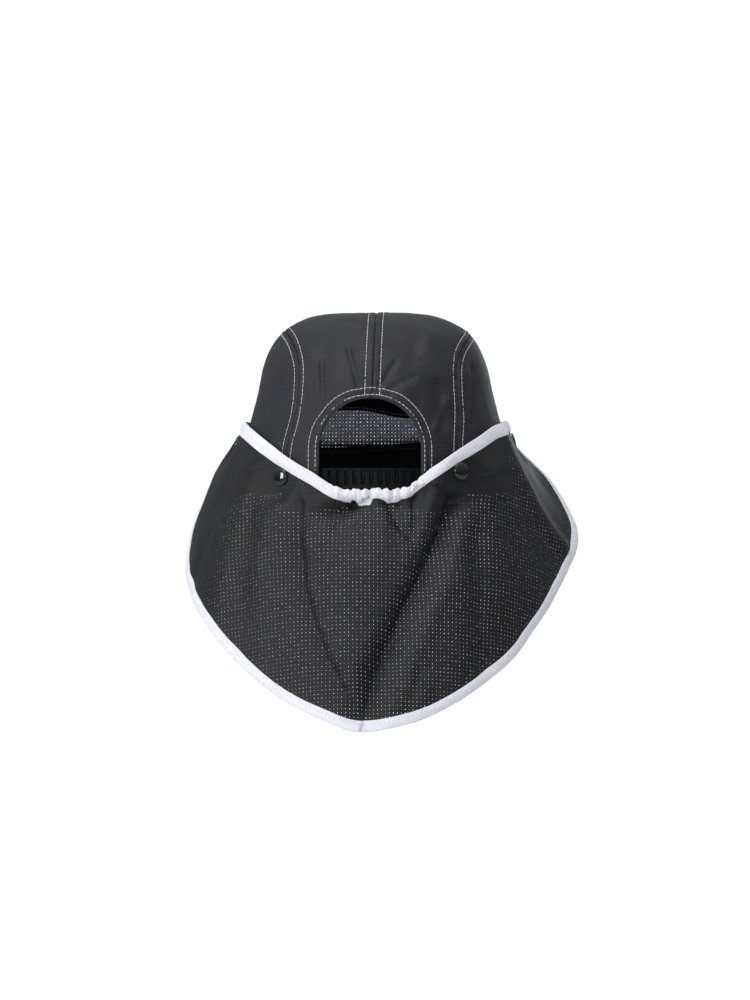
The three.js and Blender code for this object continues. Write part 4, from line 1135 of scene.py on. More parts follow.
class CapColours(bpy.types.PropertyGroup):
    """Colours of the cloths, threads and hard pieces."""

    cloth: colour("Cloth", (0.0185, 0.0183, 0.0238), "Ripstop cloth")
    cloth_light: colour("Grid yarn", (0.055, 0.055, 0.063), "Thicker yarns of the ripstop grid")
    binding: colour("Binding", (0.84, 0.845, 0.915), "White tape round the flap")
    needle_hole: colour("Needle hole", (0.38, 0.38, 0.43), "Needle holes in the white tape")
    thread: colour("Topstitching", (0.66, 0.63, 0.57), "Cream topstitching thread")
    dark_thread: colour("Dark thread", (0.16, 0.16, 0.17), "Grey thread on the dark tape")
    band: colour("Sweatband", (0.0009, 0.0009, 0.001), "Sweatband and seam tape")
    strap: colour("Strap", (0.0022, 0.0026, 0.0032), "Plastic of the adjuster strap")
    snap: colour("Snap", (0.004, 0.005, 0.005), "Gloss black of the snaps")
    floor: colour("Floor", (0.93, 0.93, 0.93), "Floor under the cap")


class CapOperator:
    """What every operator of the cap shares."""

    bl_options = {"REGISTER", "UNDO"}

    def execute(self, context):
        self.build(context.scene.cap_sizes, context.scene.cap_colours)
        return {"FINISHED"}


# Crown panels

# Along a seam: the dip at its edge, the ridge beside it, the dip under its row of stitches, and the puckers
SEAM_DIP = 0.5
SEAM_DIP_WIDTH = 0.35
SEAM_RIDGE = 0.3
ROW_DIP = 0.22
ROW_DIP_WIDTH = 0.6
PUCKER = 0.28
PUCKER_WIDTH = 3.5
PUCKER_WAVE = 7
PUCKER_SEED = 31


def dressed_panel(points, seams, rows):
    """Adds a panel's fine relief. seams lists the (axis, end) of its sewn edges, rows their stitch rows."""
    normals = crown_normal(points)
    lift = cloth_relief(points)
    for (axis, end), row in zip(seams, rows):
        away = edge_distance(points, axis, end)
        pucker = waviness(points, PUCKER_SEED + axis, PUCKER_WAVE)
        lift = lift - SEAM_DIP * bell(away, SEAM_DIP_WIDTH) + SEAM_RIDGE * bell(away - row / 2, row / 3)
        lift = lift - ROW_DIP * bell(away - row, ROW_DIP_WIDTH)
        lift = lift + PUCKER * pucker * bell(away - row, PUCKER_WIDTH)
    return points + normals * lift[..., None], normals


def panel_grid(columns, rows):
    """Places over a panel, closer together near its seams."""
    return np.meshgrid(*[spaced(count, finer=3.0, fine_ends=7) for count in (columns, rows)], indexing="ij")


# Painted light: how much lighter the front panel's inner face is drawn, standing in for daylight coming
# through its one thin layer.
LINING_PAINTED_LIGHT = 12
# Distance from each kind of seam to the rows of stitches beside it
MIDDLE_ROW = 4.8
SIDE_ROW = 3.6
FRONT_ROW = 2.2
# Distance from the opening's edge to its two rows
OPENING_ROWS = (2.0, 6.4)
# How far the rows lie over the cloth
ROW_RISE = 0.03
OPENING_ROW_RISE = 0.16


class CAP_OT_crown(CapOperator, bpy.types.Operator):
    """Build the five cloth panels of the crown"""

    bl_idname = "cap.crown"
    bl_label = "Crown Panels"

    def build(self, sizes, colours):
        material = ripstop_material("Charcoal ripstop", colours, sizes, lines=0.5)
        for name, hand in (("left", -1), ("right", 1)):
            u, v = panel_grid(76, 210)
            points = top_panel(u, v, hand)
            seams = ((0, False), (0, True), (1, False))
            self.add(f"top_panel_{name}", points, seams, (MIDDLE_ROW, SIDE_ROW, FRONT_ROW), material)
            u, v = panel_grid(110, 110)
            points = side_panel(u, v, hand)
            seams = ((0, False), (0, True), (1, True))
            self.add(f"side_panel_{name}", points, seams, (FRONT_ROW, SIDE_ROW, SIDE_ROW), material)
        u, v = panel_grid(120, 80)
        seams = ((0, False), (0, True), (1, False))
        # The inner face is a twelvefold lighter copy of the ripstop with glowing pinholes: painted light for
        # daylight through the cloth.
        lining = ripstop_material("Front lining painted light", colours, sizes, lines=0.85, painted_backlight=True, dark=LINING_PAINTED_LIGHT)
        self.add("front_panel", front_panel(u, v), seams, (FRONT_ROW,) * 3, material, lining)

    def add(self, node, points, seams, rows, material, lining=None):
        outer, normals = dressed_panel(points, seams, rows)
        inner = outer - normals * CLOTH * 0.5
        piece = build_shell(f"{node}_cloth", outer, inner, even_grain(points), material, lining)
        settle(piece, "ripstop", node)


# Topstitching of the crown

def beside(line, normals, distance):
    """The line moved sideways over the crown by a distance."""
    tangents = unit(np.gradient(line, axis=0))
    return line + np.cross(normals, tangents) * distance


def crown_row(line, distance):
    """A row of stitches at a distance to one side of a seam, with the cloth's normals there."""
    moved = onto_crown(beside(line, crown_normal(line), distance))
    normals = crown_normal(moved)
    return moved + normals * (cloth_relief(moved) + ROW_RISE)[..., None], normals


class CAP_OT_topstitching(CapOperator, bpy.types.Operator):
    """Sew the crown's seams and the edge of the back opening with cream thread"""

    bl_idname = "cap.topstitching"
    bl_label = "Topstitching"

    def build(self, sizes, colours):
        thread = thread_material("Cream thread", colours.thread)
        share = np.linspace(0, 1, 240)
        top = around_at(OPENING_SHIFT, OPENING_HEIGHT + 1.2, -1)
        over = mix(around_at(0, FRONT_PANEL_HEIGHT, 1), top, share)
        middle = crown_at(middle_seam(over), over)
        rows = [crown_row(middle, side) for side in (-MIDDLE_ROW, MIDDLE_ROW)]
        for hand in (-1, 1):
            seam = crown_at(*side_seam(share, hand))
            rows += [crown_row(seam, side) for side in (-SIDE_ROW, SIDE_ROW)]
            front = front_edge(share, hand, 0.0)
            rows += [crown_row(front, side) for side in (-FRONT_ROW, FRONT_ROW)]
        x = mix(-FRONT_CORNER, FRONT_CORNER, share)
        seam = crown_at(x, around_at(x, front_seam_height(x), 1))
        rows += [crown_row(seam, side) for side in (-FRONT_ROW, FRONT_ROW)]
        piece = build_stitches("crown_topstitching", rows, sizes, thread)
        settle(piece, "thread")
        rows = [self.opening_row(out) for out in OPENING_ROWS]
        settle(build_stitches("opening_topstitching", rows, sizes, thread), "thread")

    @staticmethod
    def opening_row(out):
        turn = np.linspace(-1.96, 1.96, 300)
        x, z = opening_edge(np.abs(turn), np.sign(turn), out)
        line = folded(stack(x, wall_depth(x, z, -1), z))
        normals = crown_normal(line)
        return line + normals * (cloth_relief(line) + OPENING_ROW_RISE)[..., None], normals


# Inside of the crown

LINING = CLOTH + GAP
INSIDE_ROOM = 0.5
# The tape's lower edge sags by this much, between these places across.
TAPE_SAG = 6
TAPE_SAG_RUN = (-14, 24)
# Distance from the sweatband's top edge, and from the tape's edges, to their rows of stitches
SWEATBAND_ROW = 3
TAPE_ROW = 2


class CAP_OT_inside(CapOperator, bpy.types.Operator):
    """Build the sweatband, the tape on the front seam and the opening's facing"""

    bl_idname = "cap.inside"
    bl_label = "Inside Bands"

    def build(self, sizes, colours):
        knit = knit_material("Black knit", colours.band)
        self.sweatband(knit, sizes, colours)
        self.tape(knit, sizes, colours)
        self.facing(ripstop_material("Facing ripstop", colours, sizes, lines=0.3, dark=0.7))

    def sweatband(self, material, sizes, colours):
        def end_angle(hand):
            x = OPENING_SHIFT + hand * (OPENING_RADIUS + SWEATBAND_END)
            return math.degrees(math.asin((abs(x) / RIM_SIDE) ** (PLAN_POWER / 2)))

        start, stop = end_angle(1), 360 - end_angle(-1)
        u, v = np.meshgrid(spaced(340, 2), spaced(36, 3, 5), indexing="ij")
        around, level = mix(start, stop, u), v * SWEATBAND_HEIGHT
        turn = np.radians(around)
        lean = SWEATBAND_LEAN * np.tanh(np.sin(turn) / SWEATBAND_LEAN_RUN) * smooth(-np.cos(turn), 0, 0.5)
        z = level + v * lean
        strap_depth = LINING + 2 * STRAP_THICKNESS + 3 * GAP + INSIDE_ROOM
        press = smooth(np.minimum(around - start, stop - around), SWEATBAND_TUCK / 2, SWEATBAND_TUCK)
        foot = mix(strap_depth, LINING + GAP, press)
        wall = mix(strap_depth, CLOTH + SWEATBAND_STANDOFF, press)
        inset = mix(foot, wall, np.clip(level / SWEATBAND_FOOT, 0, 1))
        face = ring_point(around, z, -inset)
        normals = crown_normal(face)
        roll = 0.5 * (bell(level, 0.8) + bell(SWEATBAND_HEIGHT - level, 0.8))
        padding = 0.25 * waviness(face, 8, 16) * smooth(level, 1, 8)
        row_level = SWEATBAND_HEIGHT - SWEATBAND_ROW
        row = 0.3 * bell(level - row_level, 0.6)
        inner = face - normals * (SWEATBAND_THICKNESS - roll + padding - row)[..., None]
        outer = face - normals * roll[..., None]
        grain = np.stack([around * RIM_BACK * math.pi / 180, level], -1)
        settle(build_shell("sweatband_knit", outer, inner, grain, material), "dark_cloth", "sweatband")
        rows = [(inner[:, np.argmin(np.abs(level[0] - row_level))], -normals[:, 0])]
        dark = thread_material("Dark thread", colours.band)
        settle(build_stitches("sweatband_stitching", rows, sizes, dark, FINE_THREAD), "dark_cloth")

    def tape(self, material, sizes, colours):
        u, v = np.meshgrid(np.linspace(0, 1, 150), spaced(22, 2, 4), indexing="ij")
        x = (FRONT_CORNER - 1) * (2 * u - 1)
        half = math.degrees(TAPE_WIDTH / 2 / RIM_FRONT)
        depth = LINING + INSIDE_ROOM
        sag = TAPE_SAG * smooth(x, *TAPE_SAG_RUN) * v**0.5 / math.radians(RIM_FRONT)
        points = crown_at(x, around_at(x, front_seam_height(x), 1) + half * (1 - 2 * v) - sag)
        normals = crown_normal(points)
        edge = np.minimum(v, 1 - v) * TAPE_WIDTH
        ripple = 0.22 * waviness(points, 12, 9) * bell(edge, 3) + 0.3 * bell(edge - TAPE_ROW, 0.5)
        outer = points - normals * depth
        inner = points - normals * (depth + TAPE_THICKNESS - ripple)[..., None]
        grain = np.stack([x, v * TAPE_WIDTH], -1)
        piece = build_shell("front_seam_tape_cloth", outer, inner, grain, material)
        settle(piece, "dark_cloth", "front_seam_tape")
        thread = thread_material("Grey thread", colours.dark_thread)
        places = (TAPE_ROW / TAPE_WIDTH, 1 - TAPE_ROW / TAPE_WIDTH)
        rows = [(inner[:, np.argmin(np.abs(v[0] - k))], -normals[:, 0]) for k in places]
        settle(build_stitches("tape_stitching", rows, sizes, thread, FINE_THREAD), "thread")

    def facing(self, material):
        foot = STRAP_BOTTOM + STRAP_HEIGHT + 2 * GAP
        lowest = 2 - foot / OPENING_SPRING
        u, v = np.meshgrid(np.linspace(-lowest, lowest, 160), np.linspace(0, 1, 10), indexing="ij")
        x, z = opening_edge(np.abs(u), np.where(u < 0, -1, 1), FACING_WIDTH * v)
        points = folded(stack(x, wall_depth(x, z, -1), z))
        normals = crown_normal(points)
        roll = 0.9 * bell(FACING_WIDTH * v, 0.9)
        depth = LINING - roll
        outer = points - normals * depth[..., None]
        inner = points - normals * (depth + FACING_THICKNESS)[..., None]
        piece = build_shell("opening_facing_cloth", outer, inner, even_grain(points), material)
        settle(piece, "ripstop", "opening_facing")


# Adjuster strap

def strap_line(x, inset):
    """The strap's face at a place across, at a depth behind the crown's back wall, and its way out."""
    top = STRAP_BOTTOM + STRAP_HEIGHT

    def depth(at):
        side, end = wall_reach("side", top) - inset, wall_reach("back", top) - inset
        return -end * (1 - (np.abs(at) / side) ** PLAN_POWER) ** (1 / PLAN_POWER)

    slope = (depth(x + 0.01) - depth(x - 0.01)) / 0.02
    return depth(x), unit(stack(slope, -np.ones_like(x), 0 * x))


def bent(points, inset):
    """Bends flat points, as across, up and out, round the back of the cap."""
    x, z, out = np.moveaxis(points, -1, 0)
    depth, way = strap_line(x, inset)
    return stack(x, depth, z) + way * out[..., None]


def slot_outline(count, width, height):
    """Points round an upright slot with round ends."""
    radius = width / 2
    straight = height - width
    rim = np.pi * radius
    at = np.linspace(0, 2 * (straight + rim), count, endpoint=False) - straight / 2
    x, z = np.empty(count), np.empty(count)
    for i, s in enumerate(at % (2 * (straight + rim))):
        if s < straight / 2:
            x[i], z[i] = radius, s
        elif s < straight / 2 + rim:
            a = (s - straight / 2) / radius
            x[i], z[i] = radius * math.cos(a), straight / 2 + radius * math.sin(a)
        elif s < 1.5 * straight + rim:
            x[i], z[i] = -radius, straight / 2 - (s - straight / 2 - rim)
        elif s < 1.5 * straight + 2 * rim:
            a = math.pi + (s - 1.5 * straight - rim) / radius
            x[i], z[i] = radius * math.cos(a), -straight / 2 + radius * math.sin(a)
        else:
            x[i], z[i] = radius, s - 2 * (straight + rim)
    return x, z


SLOT_POINTS = 40
STRAP_EDGE = 0.45
PEG_DROP = 0.7
STRAP_SHARP = 40
# Rings of a slot, as the share of the way from its cell's edge to its rim, and the height over the face
SLOT_RINGS = (
    (0.0, 0.0), (0.5, 0.0), (0.86, 0.0), (0.95, -0.08), (1.0, -0.3), (1.0, -1.3), (0.95, -1.52),
)
# The raised ridge along the strap's top: how far it starts from the free end, how far its middle lies below
# the top edge and behind the face, and half its height and thickness
RIDGE_START = 1.5
RIDGE_DROP = 0.95
RIDGE_SINK = 0.1
RIDGE_HALF_HEIGHT = 0.8
RIDGE_HALF_THICKNESS = 0.55


def slotted_cell():
    """One pitch of the slotted band, as rings from the cell's edge, over the slot's rim, to the back."""
    x, z = slot_outline(SLOT_POINTS, SLOT_WIDTH, SLOT_HEIGHT)
    half, rise = SLOT_PITCH / 2, STRAP_HEIGHT / 2 - STRAP_EDGE
    reach = np.minimum(half / np.maximum(np.abs(x), 1e-9), rise / np.maximum(np.abs(z), 1e-9))
    edge_x, edge_z = x * reach, z * reach
    rings = []
    for share, out in SLOT_RINGS:
        rings.append(np.stack([mix(edge_x, x, share), mix(edge_z, z, share), np.full(SLOT_POINTS, out)], -1))
    rings.append(np.stack([edge_x, edge_z, np.full(SLOT_POINTS, -STRAP_THICKNESS)], -1))
    return np.array(rings)


def strap_profile():
    """The strap's section as up and out, with rounded edges."""
    half, edge = STRAP_HEIGHT / 2, STRAP_EDGE
    turn = np.linspace(0, np.pi / 2, 5)
    corner = [(half - edge + edge * np.sin(a), -edge + edge * np.cos(a)) for a in turn]
    upper = corner + [(k, -STRAP_THICKNESS - o) for k, o in corner[::-1]]
    lower = [(-k, o) for k, o in upper[::-1]]
    return np.array(upper + lower)


class CAP_OT_strap(CapOperator, bpy.types.Operator):
    """Build the slotted and the pegged band of the adjuster strap"""

    bl_idname = "cap.strap"
    bl_label = "Adjuster Strap"

    def build(self, sizes, colours):
        material = plastic_material("Satin black plastic", colours.strap, 0.34, specular=0.13)
        middle = STRAP_BOTTOM + STRAP_HEIGHT / 2
        centre = OPENING_SHIFT + STRAP_SHIFT
        places = centre + (np.arange(SLOT_COUNT) - (SLOT_COUNT - 1) / 2) * SLOT_PITCH
        self.slotted(places, middle, material)
        self.pegged(places, middle, material)

    def slotted(self, places, middle, material):
        points, faces = [], []
        cell = slotted_cell()
        for x in places:
            faces += tube_faces(*cell.shape[:2], sum(map(len, points)))[0]
            points.append(bent(cell + np.array([x, middle, 0]), LINING).reshape(-1, 3))
        left, right = places[0] - SLOT_PITCH / 2, places[-1] + SLOT_PITCH / 2
        free = places[0] - STRAP_FREE_END
        sewn = OPENING_SHIFT + OPENING_RADIUS + STRAP_SEWN_END
        for low, high, steps in ((free, left, 5), (right, sewn, 24)):
            faces += self.slab(points, low, high, steps, middle, LINING)
        for hand in (-1, 1):
            faces += self.rail(points, left, right, 60, middle, hand)
        faces += self.ridge(points, free + RIDGE_START, sewn, middle)
        self.finish("slotted", points, faces, material)

    @staticmethod
    def finish(name, points, faces, material):
        points = np.concatenate(points)
        piece = build_mesh(f"adjuster_strap_{name}_plastic", points, faces, None, material, STRAP_SHARP)
        return settle(piece, "strap_plastic", f"adjuster_strap_{name}")

    @staticmethod
    def sweep(points, rings):
        """Adds a closed body swept through rings to a list of points, and gives its faces."""
        sides, first, last = tube_faces(*rings.shape[:2], sum(map(len, points)))
        points.append(rings.reshape(-1, 3))
        return [[a, d, c, b] for a, b, c, d in sides] + [first, last[::-1]]

    def slab(self, points, low, high, steps, middle, inset):
        x = np.linspace(low, high, steps)
        profile = strap_profile()
        rings = stack(x[:, None], profile[None, :, 0] + middle, profile[None, :, 1])
        return self.sweep(points, bent(rings, inset))

    def rail(self, points, low, high, steps, middle, hand):
        """The rounded edge above or below the slots."""
        x = np.linspace(low, high, steps)
        turn = np.linspace(0, np.pi, 9)
        half = STRAP_THICKNESS / 2
        rise = hand * (STRAP_HEIGHT / 2 - STRAP_EDGE + STRAP_EDGE * np.sin(turn)) + middle
        out = -half + half * np.cos(turn)
        return self.sweep(points, bent(stack(x[:, None], rise[None], out[None]), LINING))

    def ridge(self, points, low, high, middle):
        x = np.linspace(low, high, 70)
        turn = np.linspace(0, 2 * np.pi, 12, endpoint=False)
        rise = middle + STRAP_HEIGHT / 2 - RIDGE_DROP + RIDGE_HALF_HEIGHT * np.cos(turn)
        out = -RIDGE_SINK + RIDGE_HALF_THICKNESS * np.sin(turn)
        return self.sweep(points, bent(stack(x[:, None], rise[None], out[None]), LINING))

    def pegged(self, places, middle, material):
        points, faces = [], []
        inset = LINING + STRAP_THICKNESS + GAP
        start = OPENING_SHIFT - OPENING_RADIUS - STRAP_SEWN_END
        faces += self.slab(points, start, places[-1] + STRAP_FREE_END, 80, middle, inset)
        x, z = slot_outline(24, SLOT_WIDTH - 2 * GAP, SLOT_HEIGHT * PEG_HEIGHT)
        tip = GAP + STRAP_THICKNESS * 0.55
        for place in places:
            rings = []
            for size, out in ((1.0, -0.3), (1.0, tip - 0.35), (0.85, tip - 0.08), (0.6, tip)):
                rings.append(stack(place + x * size, middle - PEG_DROP + z * mix(1, size, 0.3), out + 0 * x))
            faces += self.sweep(points, bent(np.array(rings), inset))
        fix_facing(self.finish("pegged", points, faces, material))


# Peak

# The outer edge turns through this angle to each side, narrows by a share and is rounded by a power.
PEAK_TURN = 86
PEAK_TAPER = 0.12
PEAK_ROUND = 0.8
PEAK_ROWS = (3, 9, 15, 21, 27)


def peak_surface(u, v):
    side = 2 * u - 1
    inner_x = PEAK_CORNER * side
    rim = wall_depth(inner_x, 0, 1) + 2 * GAP
    angle = side * math.radians(PEAK_TURN)
    outer_x = PEAK_HALF_WIDTH * np.sin(angle) * (1 - PEAK_TAPER * side * side)
    corner = wall_depth(PEAK_CORNER, 0, 1) + 2 * GAP + PEAK_END
    outer_y = corner + (RIM_FRONT + PEAK_LENGTH - corner) * np.cos(angle) ** PEAK_ROUND
    x, y = mix(inner_x, outer_x, v), mix(rim, outer_y, v)
    away = (y - rim) / PEAK_LENGTH
    return stack(x, y, -away * (PEAK_SLOPE + PEAK_CAMBER * (x / PEAK_HALF_WIDTH) ** 2))


class CAP_OT_peak(CapOperator, bpy.types.Operator):
    """Build the peak with its rows of stitches"""

    bl_idname = "cap.peak"
    bl_label = "Peak"

    def build(self, sizes, colours):
        u, v = np.meshgrid(spaced(150, 2), spaced(70, 3, 8), indexing="ij")
        points = peak_surface(u, v)
        normals = -grid_normals(points)
        normals *= np.sign(normals[..., 2:3])
        away = np.minimum(edge_distance(points, 1, True), edge_distance(points, 0, False) + 40 * (v < 0.02))
        half = PEAK_THICKNESS / 2
        roll = np.sqrt(np.clip(1 - (1 - np.clip(away / half, 0, 1)) ** 2, 0.02, 1))
        lift = 0.08 * waviness(points, 3, 8)
        for row in PEAK_ROWS:
            lift = lift - ROW_DIP * bell(away - row, 0.5)
        top = points + normals * (half * roll + lift)[..., None]
        under = points - normals * (half * roll)[..., None]
        grain = points[..., :2]
        material = ripstop_material("Peak ripstop", colours, sizes, lines=0.35)
        settle(build_shell("peak_cloth", top, under, grain, material), "ripstop", "peak")
        thread = thread_material("Peak thread", colours.cloth_light)
        rows = []
        for row in PEAK_ROWS:
            k = np.argmin(np.abs(away[len(u) // 2] - row) + 9 * (v[0] < 0.3))
            rows.append((top[8:-8, k], normals[8:-8, k]))
        settle(build_stitches("peak_stitching", rows, sizes, thread, PEAK_THREAD), "thread")


# Neck flap

# The white tapes: points along one and across each leg, and the inset of the stitches from a leg's edge
BINDING_COLUMNS = 640
BINDING_LEG_POINTS = 9
BINDING_SHARP = 60
BINDING_STITCH_INSET = 1.1
BINDING_FOLD_REACH = 1.25


def cone_grain(points):
    """Places of a flared cloth laid flat, with its grain upright at the middle of the back."""
    slope = math.atan2(FLAP_FLARE_BACK, FLAP_DROP)
    apex = RIM_BACK / math.tan(slope)
    away = np.hypot(points[..., 0], points[..., 1])
    slant = np.hypot(away, apex - points[..., 2])
    turn = np.arctan2(points[..., 0], -points[..., 1]) * math.sin(slope)
    return np.stack([slant * np.sin(turn), -slant * np.cos(turn)], -1)


class CAP_OT_flap(CapOperator, bpy.types.Operator):
    """Build the neck flap and the white tapes folded over its edges"""

    bl_idname = "cap.flap"
    bl_label = "Neck Flap"

    def build(self, sizes, colours):
        u, v = np.meshgrid(np.linspace(0, 1, 270), spaced(176, 1.0, 1), indexing="ij")
        points = flap_surface(u, v)
        normals = grid_normals(points)
        half = sizes.flap_cloth / MM / 2
        # The flap's copy of the ripstop is darkened to 0.54 of the cloth's colour: painted shade.
        material = ripstop_material("Flap ripstop painted shade", colours, sizes, lines=0.3, dark=0.54)
        flap = build_shell(
            "neck_flap_cloth", points + normals * half, points - normals * half, cone_grain(points), material
        )
        settle(flap, "ripstop", "neck_flap")
        tape = binding_material(colours, sizes)
        thread = thread_material("White thread", colours.binding)
        for name, edge, width in (("top", 0, TOP_BINDING_WIDTH), ("hem", 1, HEM_BINDING_WIDTH)):
            piece, rows = self.binding(name, edge, width, half, tape)
            stitches = build_stitches(f"flap_{name}_stitching", rows, sizes, thread, FINE_THREAD)
            settle(stitches, "white_binding")

    @staticmethod
    def binding(name, edge, width, half, material):
        """A folded tape whose legs lie on both faces of the flap along one edge."""
        columns = np.linspace(0, 1, BINDING_COLUMNS)
        inward = np.linspace(0, BOUND, BINDING_LEG_POINTS)
        v = inward if edge == 0 else 1 - inward
        grid = flap_surface(*np.meshgrid(columns, v, indexing="ij"))
        normals = grid_normals(grid) * (1 if edge == 0 else -1)
        into = unit(grid[:, 1] - grid[:, 0])
        across = inward / BOUND * width
        puff = 0.75 + 0.3 * np.sin(np.pi * np.clip(across / width, 0, 1))
        puff = puff - 0.28 * bell(across - width + BINDING_STITCH_INSET, 0.5)
        puff[-1] = 0.45
        creep = 0.12 * waviness(grid, 17, 6)
        around = np.linspace(FLAP_FROM, FLAP_TO, BINDING_COLUMNS)[:, None]
        ruffle = 1 + (1 - edge) * 0.9 * gather_zone(around)
        crease = np.zeros_like(around)
        if edge == 0:
            degree = math.radians(RIM_BACK)
            for place, width_of, depth in TAPE_CREASES:
                crease = np.maximum(crease, depth * bell((around - place) * degree, width_of))
        thick = puff[None] * (ruffle - crease) + creep * (across > 0)
        front, back = grid + normals * thick[..., None], grid - normals * thick[..., None]
        turn = np.linspace(np.pi / 2, -np.pi / 2, 7)[1:-1]
        bulge = puff[0] * (ruffle - crease)
        fold = grid[:, :1] - into[:, None] * (BINDING_FOLD_REACH * np.cos(turn))[None, :, None]
        fold = fold + normals[:, :1] * (bulge * np.sin(turn)[None])[..., None]
        outside = np.concatenate([front[:, ::-1], fold, back], axis=1)
        near = half + 0.04
        inside_front, inside_back = grid + normals * near, grid - normals * near
        tip = grid[:, :1] - into[:, None] * 0.5
        inside = np.concatenate([inside_back[:, ::-1], tip, inside_front], axis=1)
        rings = np.concatenate([outside, inside], axis=1)
        run = run_along(grid[:, 0])
        places = np.concatenate([across[::-1], 0 * turn, -across, -across[::-1], [0], across])
        grain = np.stack(np.broadcast_arrays(run[:, None], places[None]), -1)
        piece = build_sweep(f"flap_{name}_binding_tape", rings, grain, material, BINDING_SHARP)
        fix_facing(piece)
        settle(piece, "white_binding", f"flap_{name}_binding")
        k = int(round((1 - BINDING_STITCH_INSET / width) * (BINDING_LEG_POINTS - 1)))
        return piece, [(front[:, k], normals[:, k]), (back[:, k], -normals[:, k])]


# Snaps

def build_turned(name, profile, centre, axis, material, sides=48):
    """A body turned round an axis from a profile of (radius, height) that starts and ends on it."""
    turn = np.linspace(0, 2 * np.pi, sides, endpoint=False)
    side = unit(np.cross(axis, [0.0, 0.0, 1.0]))
    up = np.cross(side, axis)
    spoke = np.cos(turn)[:, None] * side + np.sin(turn)[:, None] * up
    inner = profile[1:-1]
    rings = np.array([centre + spoke * r + axis * h for r, h in inner])
    faces, first, last = tube_faces(len(inner), sides)
    poles = [centre + axis * profile[0][1], centre + axis * profile[-1][1]]
    pole = len(inner) * sides
    faces += [[b, a, pole] for a, b in zip(first, first[1:] + first[:1])]
    faces += [[a, b, pole + 1] for a, b in zip(last, last[1:] + last[:1])]
    piece = build_mesh(name, np.concatenate([rings.reshape(-1, 3), poles]), faces, None, material, 50)
    fix_facing(piece)
    return piece


def arc(centre, radius, start, stop, count):
    turn = np.radians(np.linspace(start, stop, count))
    return [(centre[0] + radius * math.cos(a), centre[1] + radius * math.sin(a)) for a in turn]


class CAP_OT_snaps(CapOperator, bpy.types.Operator):
    """Build the four gloss black snaps"""

    bl_idname = "cap.snaps"
    bl_label = "Snaps"

    def build(self, sizes, colours):
        gloss = plastic_material("Gloss black", colours.snap, 0.06, coat=0.6, wear=0.04)
        for name, (centre, axis) in SNAP_FRAMES.items():
            cap = build_turned(f"snap_cap_{name}_gloss", self.cap_profile(), centre, axis, gloss)
            settle(cap, "snap_gloss", f"snap_cap_{name}")
            stud = build_turned(f"snap_stud_{name}_gloss", self.stud_profile(), centre, axis, gloss)
            settle(stud, "snap_gloss", f"snap_stud_{name}")

    @staticmethod
    def cap_profile():
        cloth = SEAT_HEIGHT - FLAP_CLOTH / 2 - GAP
        over = SEAT_HEIGHT + FLAP_CLOTH / 2 + GAP / 3
        low = cloth - SOCKET_HEIGHT
        bore = STUD_HEAD_RADIUS + GAP
        head = low + STUD_HEAD_HEIGHT
        socket = [(0, head), (bore * 0.98, head), (bore, head - 0.1), (bore, low + 0.15), (bore + 0.2, low)]
        socket += arc((SOCKET_RADIUS - 0.4, low + 0.4), 0.4, -90, 0, 5)
        socket += arc((SOCKET_RADIUS - 0.4, cloth - 0.4), 0.4, 0, 90, 5)
        socket += [(SNAP_POST_RADIUS, cloth), (SNAP_POST_RADIUS, over)]
        rim = [(CAP_RADIUS - 0.25, over)] + arc((CAP_RADIUS - 0.45, over + 0.45), 0.45, -60, 50, 8)
        dome_from = rim[-1]
        dome = []
        for k in np.linspace(0, 1, 16)[1:]:
            radius = dome_from[0] * math.cos(k * math.pi / 2)
            dome.append((radius, mix(dome_from[1], over + CAP_HEIGHT, math.sin(k * math.pi / 2) ** 1.1)))
        dome[-1] = (0, dome[-1][1])
        return socket + rim + dome

    @staticmethod
    def stud_profile():
        top, under = STUD_GAP + STUD_PLATE, -CLOTH - STUD_GAP
        plate = STUD_RADIUS * 0.9
        low = under - STUD_PLATE
        body = [(0, low + 0.25), (plate * 0.6, low + 0.1)] + arc((plate - 0.3, low + 0.3), 0.3, -90, 0, 5)
        body += [(plate, under - 0.1), (plate - 0.1, under), (SNAP_POST_RADIUS, under)]
        body += [(SNAP_POST_RADIUS, STUD_GAP), (STUD_RADIUS - 0.1, STUD_GAP)]
        body += arc((STUD_RADIUS - 0.3, top - 0.3), 0.3, -30, 90, 6)
        head = STUD_HEAD_RADIUS
        tall = top + STUD_HEAD_HEIGHT - GAP
        return body + [(head * 0.9, top), (head, tall - 0.4), (head * 0.8, tall - 0.05), (0, tall)]


# Stage

FLOOR_REACH = 9.0
# The white behind the cap, which the camera alone sees
BACKDROP_STRENGTH = 1.05
# The camera's sensor in millimetres, its lens in sensor widths, and its place across and up in metres
SENSOR_WIDTH = 36
LENS_REACH = 3
CAMERA_ACROSS = -0.00033
CAMERA_UP = -0.0044
# How strongly the surroundings light the cap
WORLD_STRENGTH = 0.75
# The light all round, level with the cap and from straight above it
WORLD_HORIZON = (0.12, 0.122, 0.13)
WORLD_SKY = (0.93, 0.95, 1)
# The floor glows to the camera alone, so that it and the white behind it meet without a line.
FLOOR_GLOW = 1.1
# Name, place, what it points at, width and height, power
STUDIO_LIGHTS = (
    ("Top softbox", (-0.35, -0.75, 1.65), (0, 0, 0), (0.9, 0.9), 14),
    ("Left softbox", (-1.33, -0.77, 0.35), (0, 0, 0), (0.4, 0.55), 8),
    ("Front softbox", (-0.3, -1.95, 0.4), (0, 0, 0), (0.6, 0.6), 6.5),
    ("Back softbox", (0.5, 1.9, 0.35), (0, 0, 0), (1.2, 0.6), 3),
)


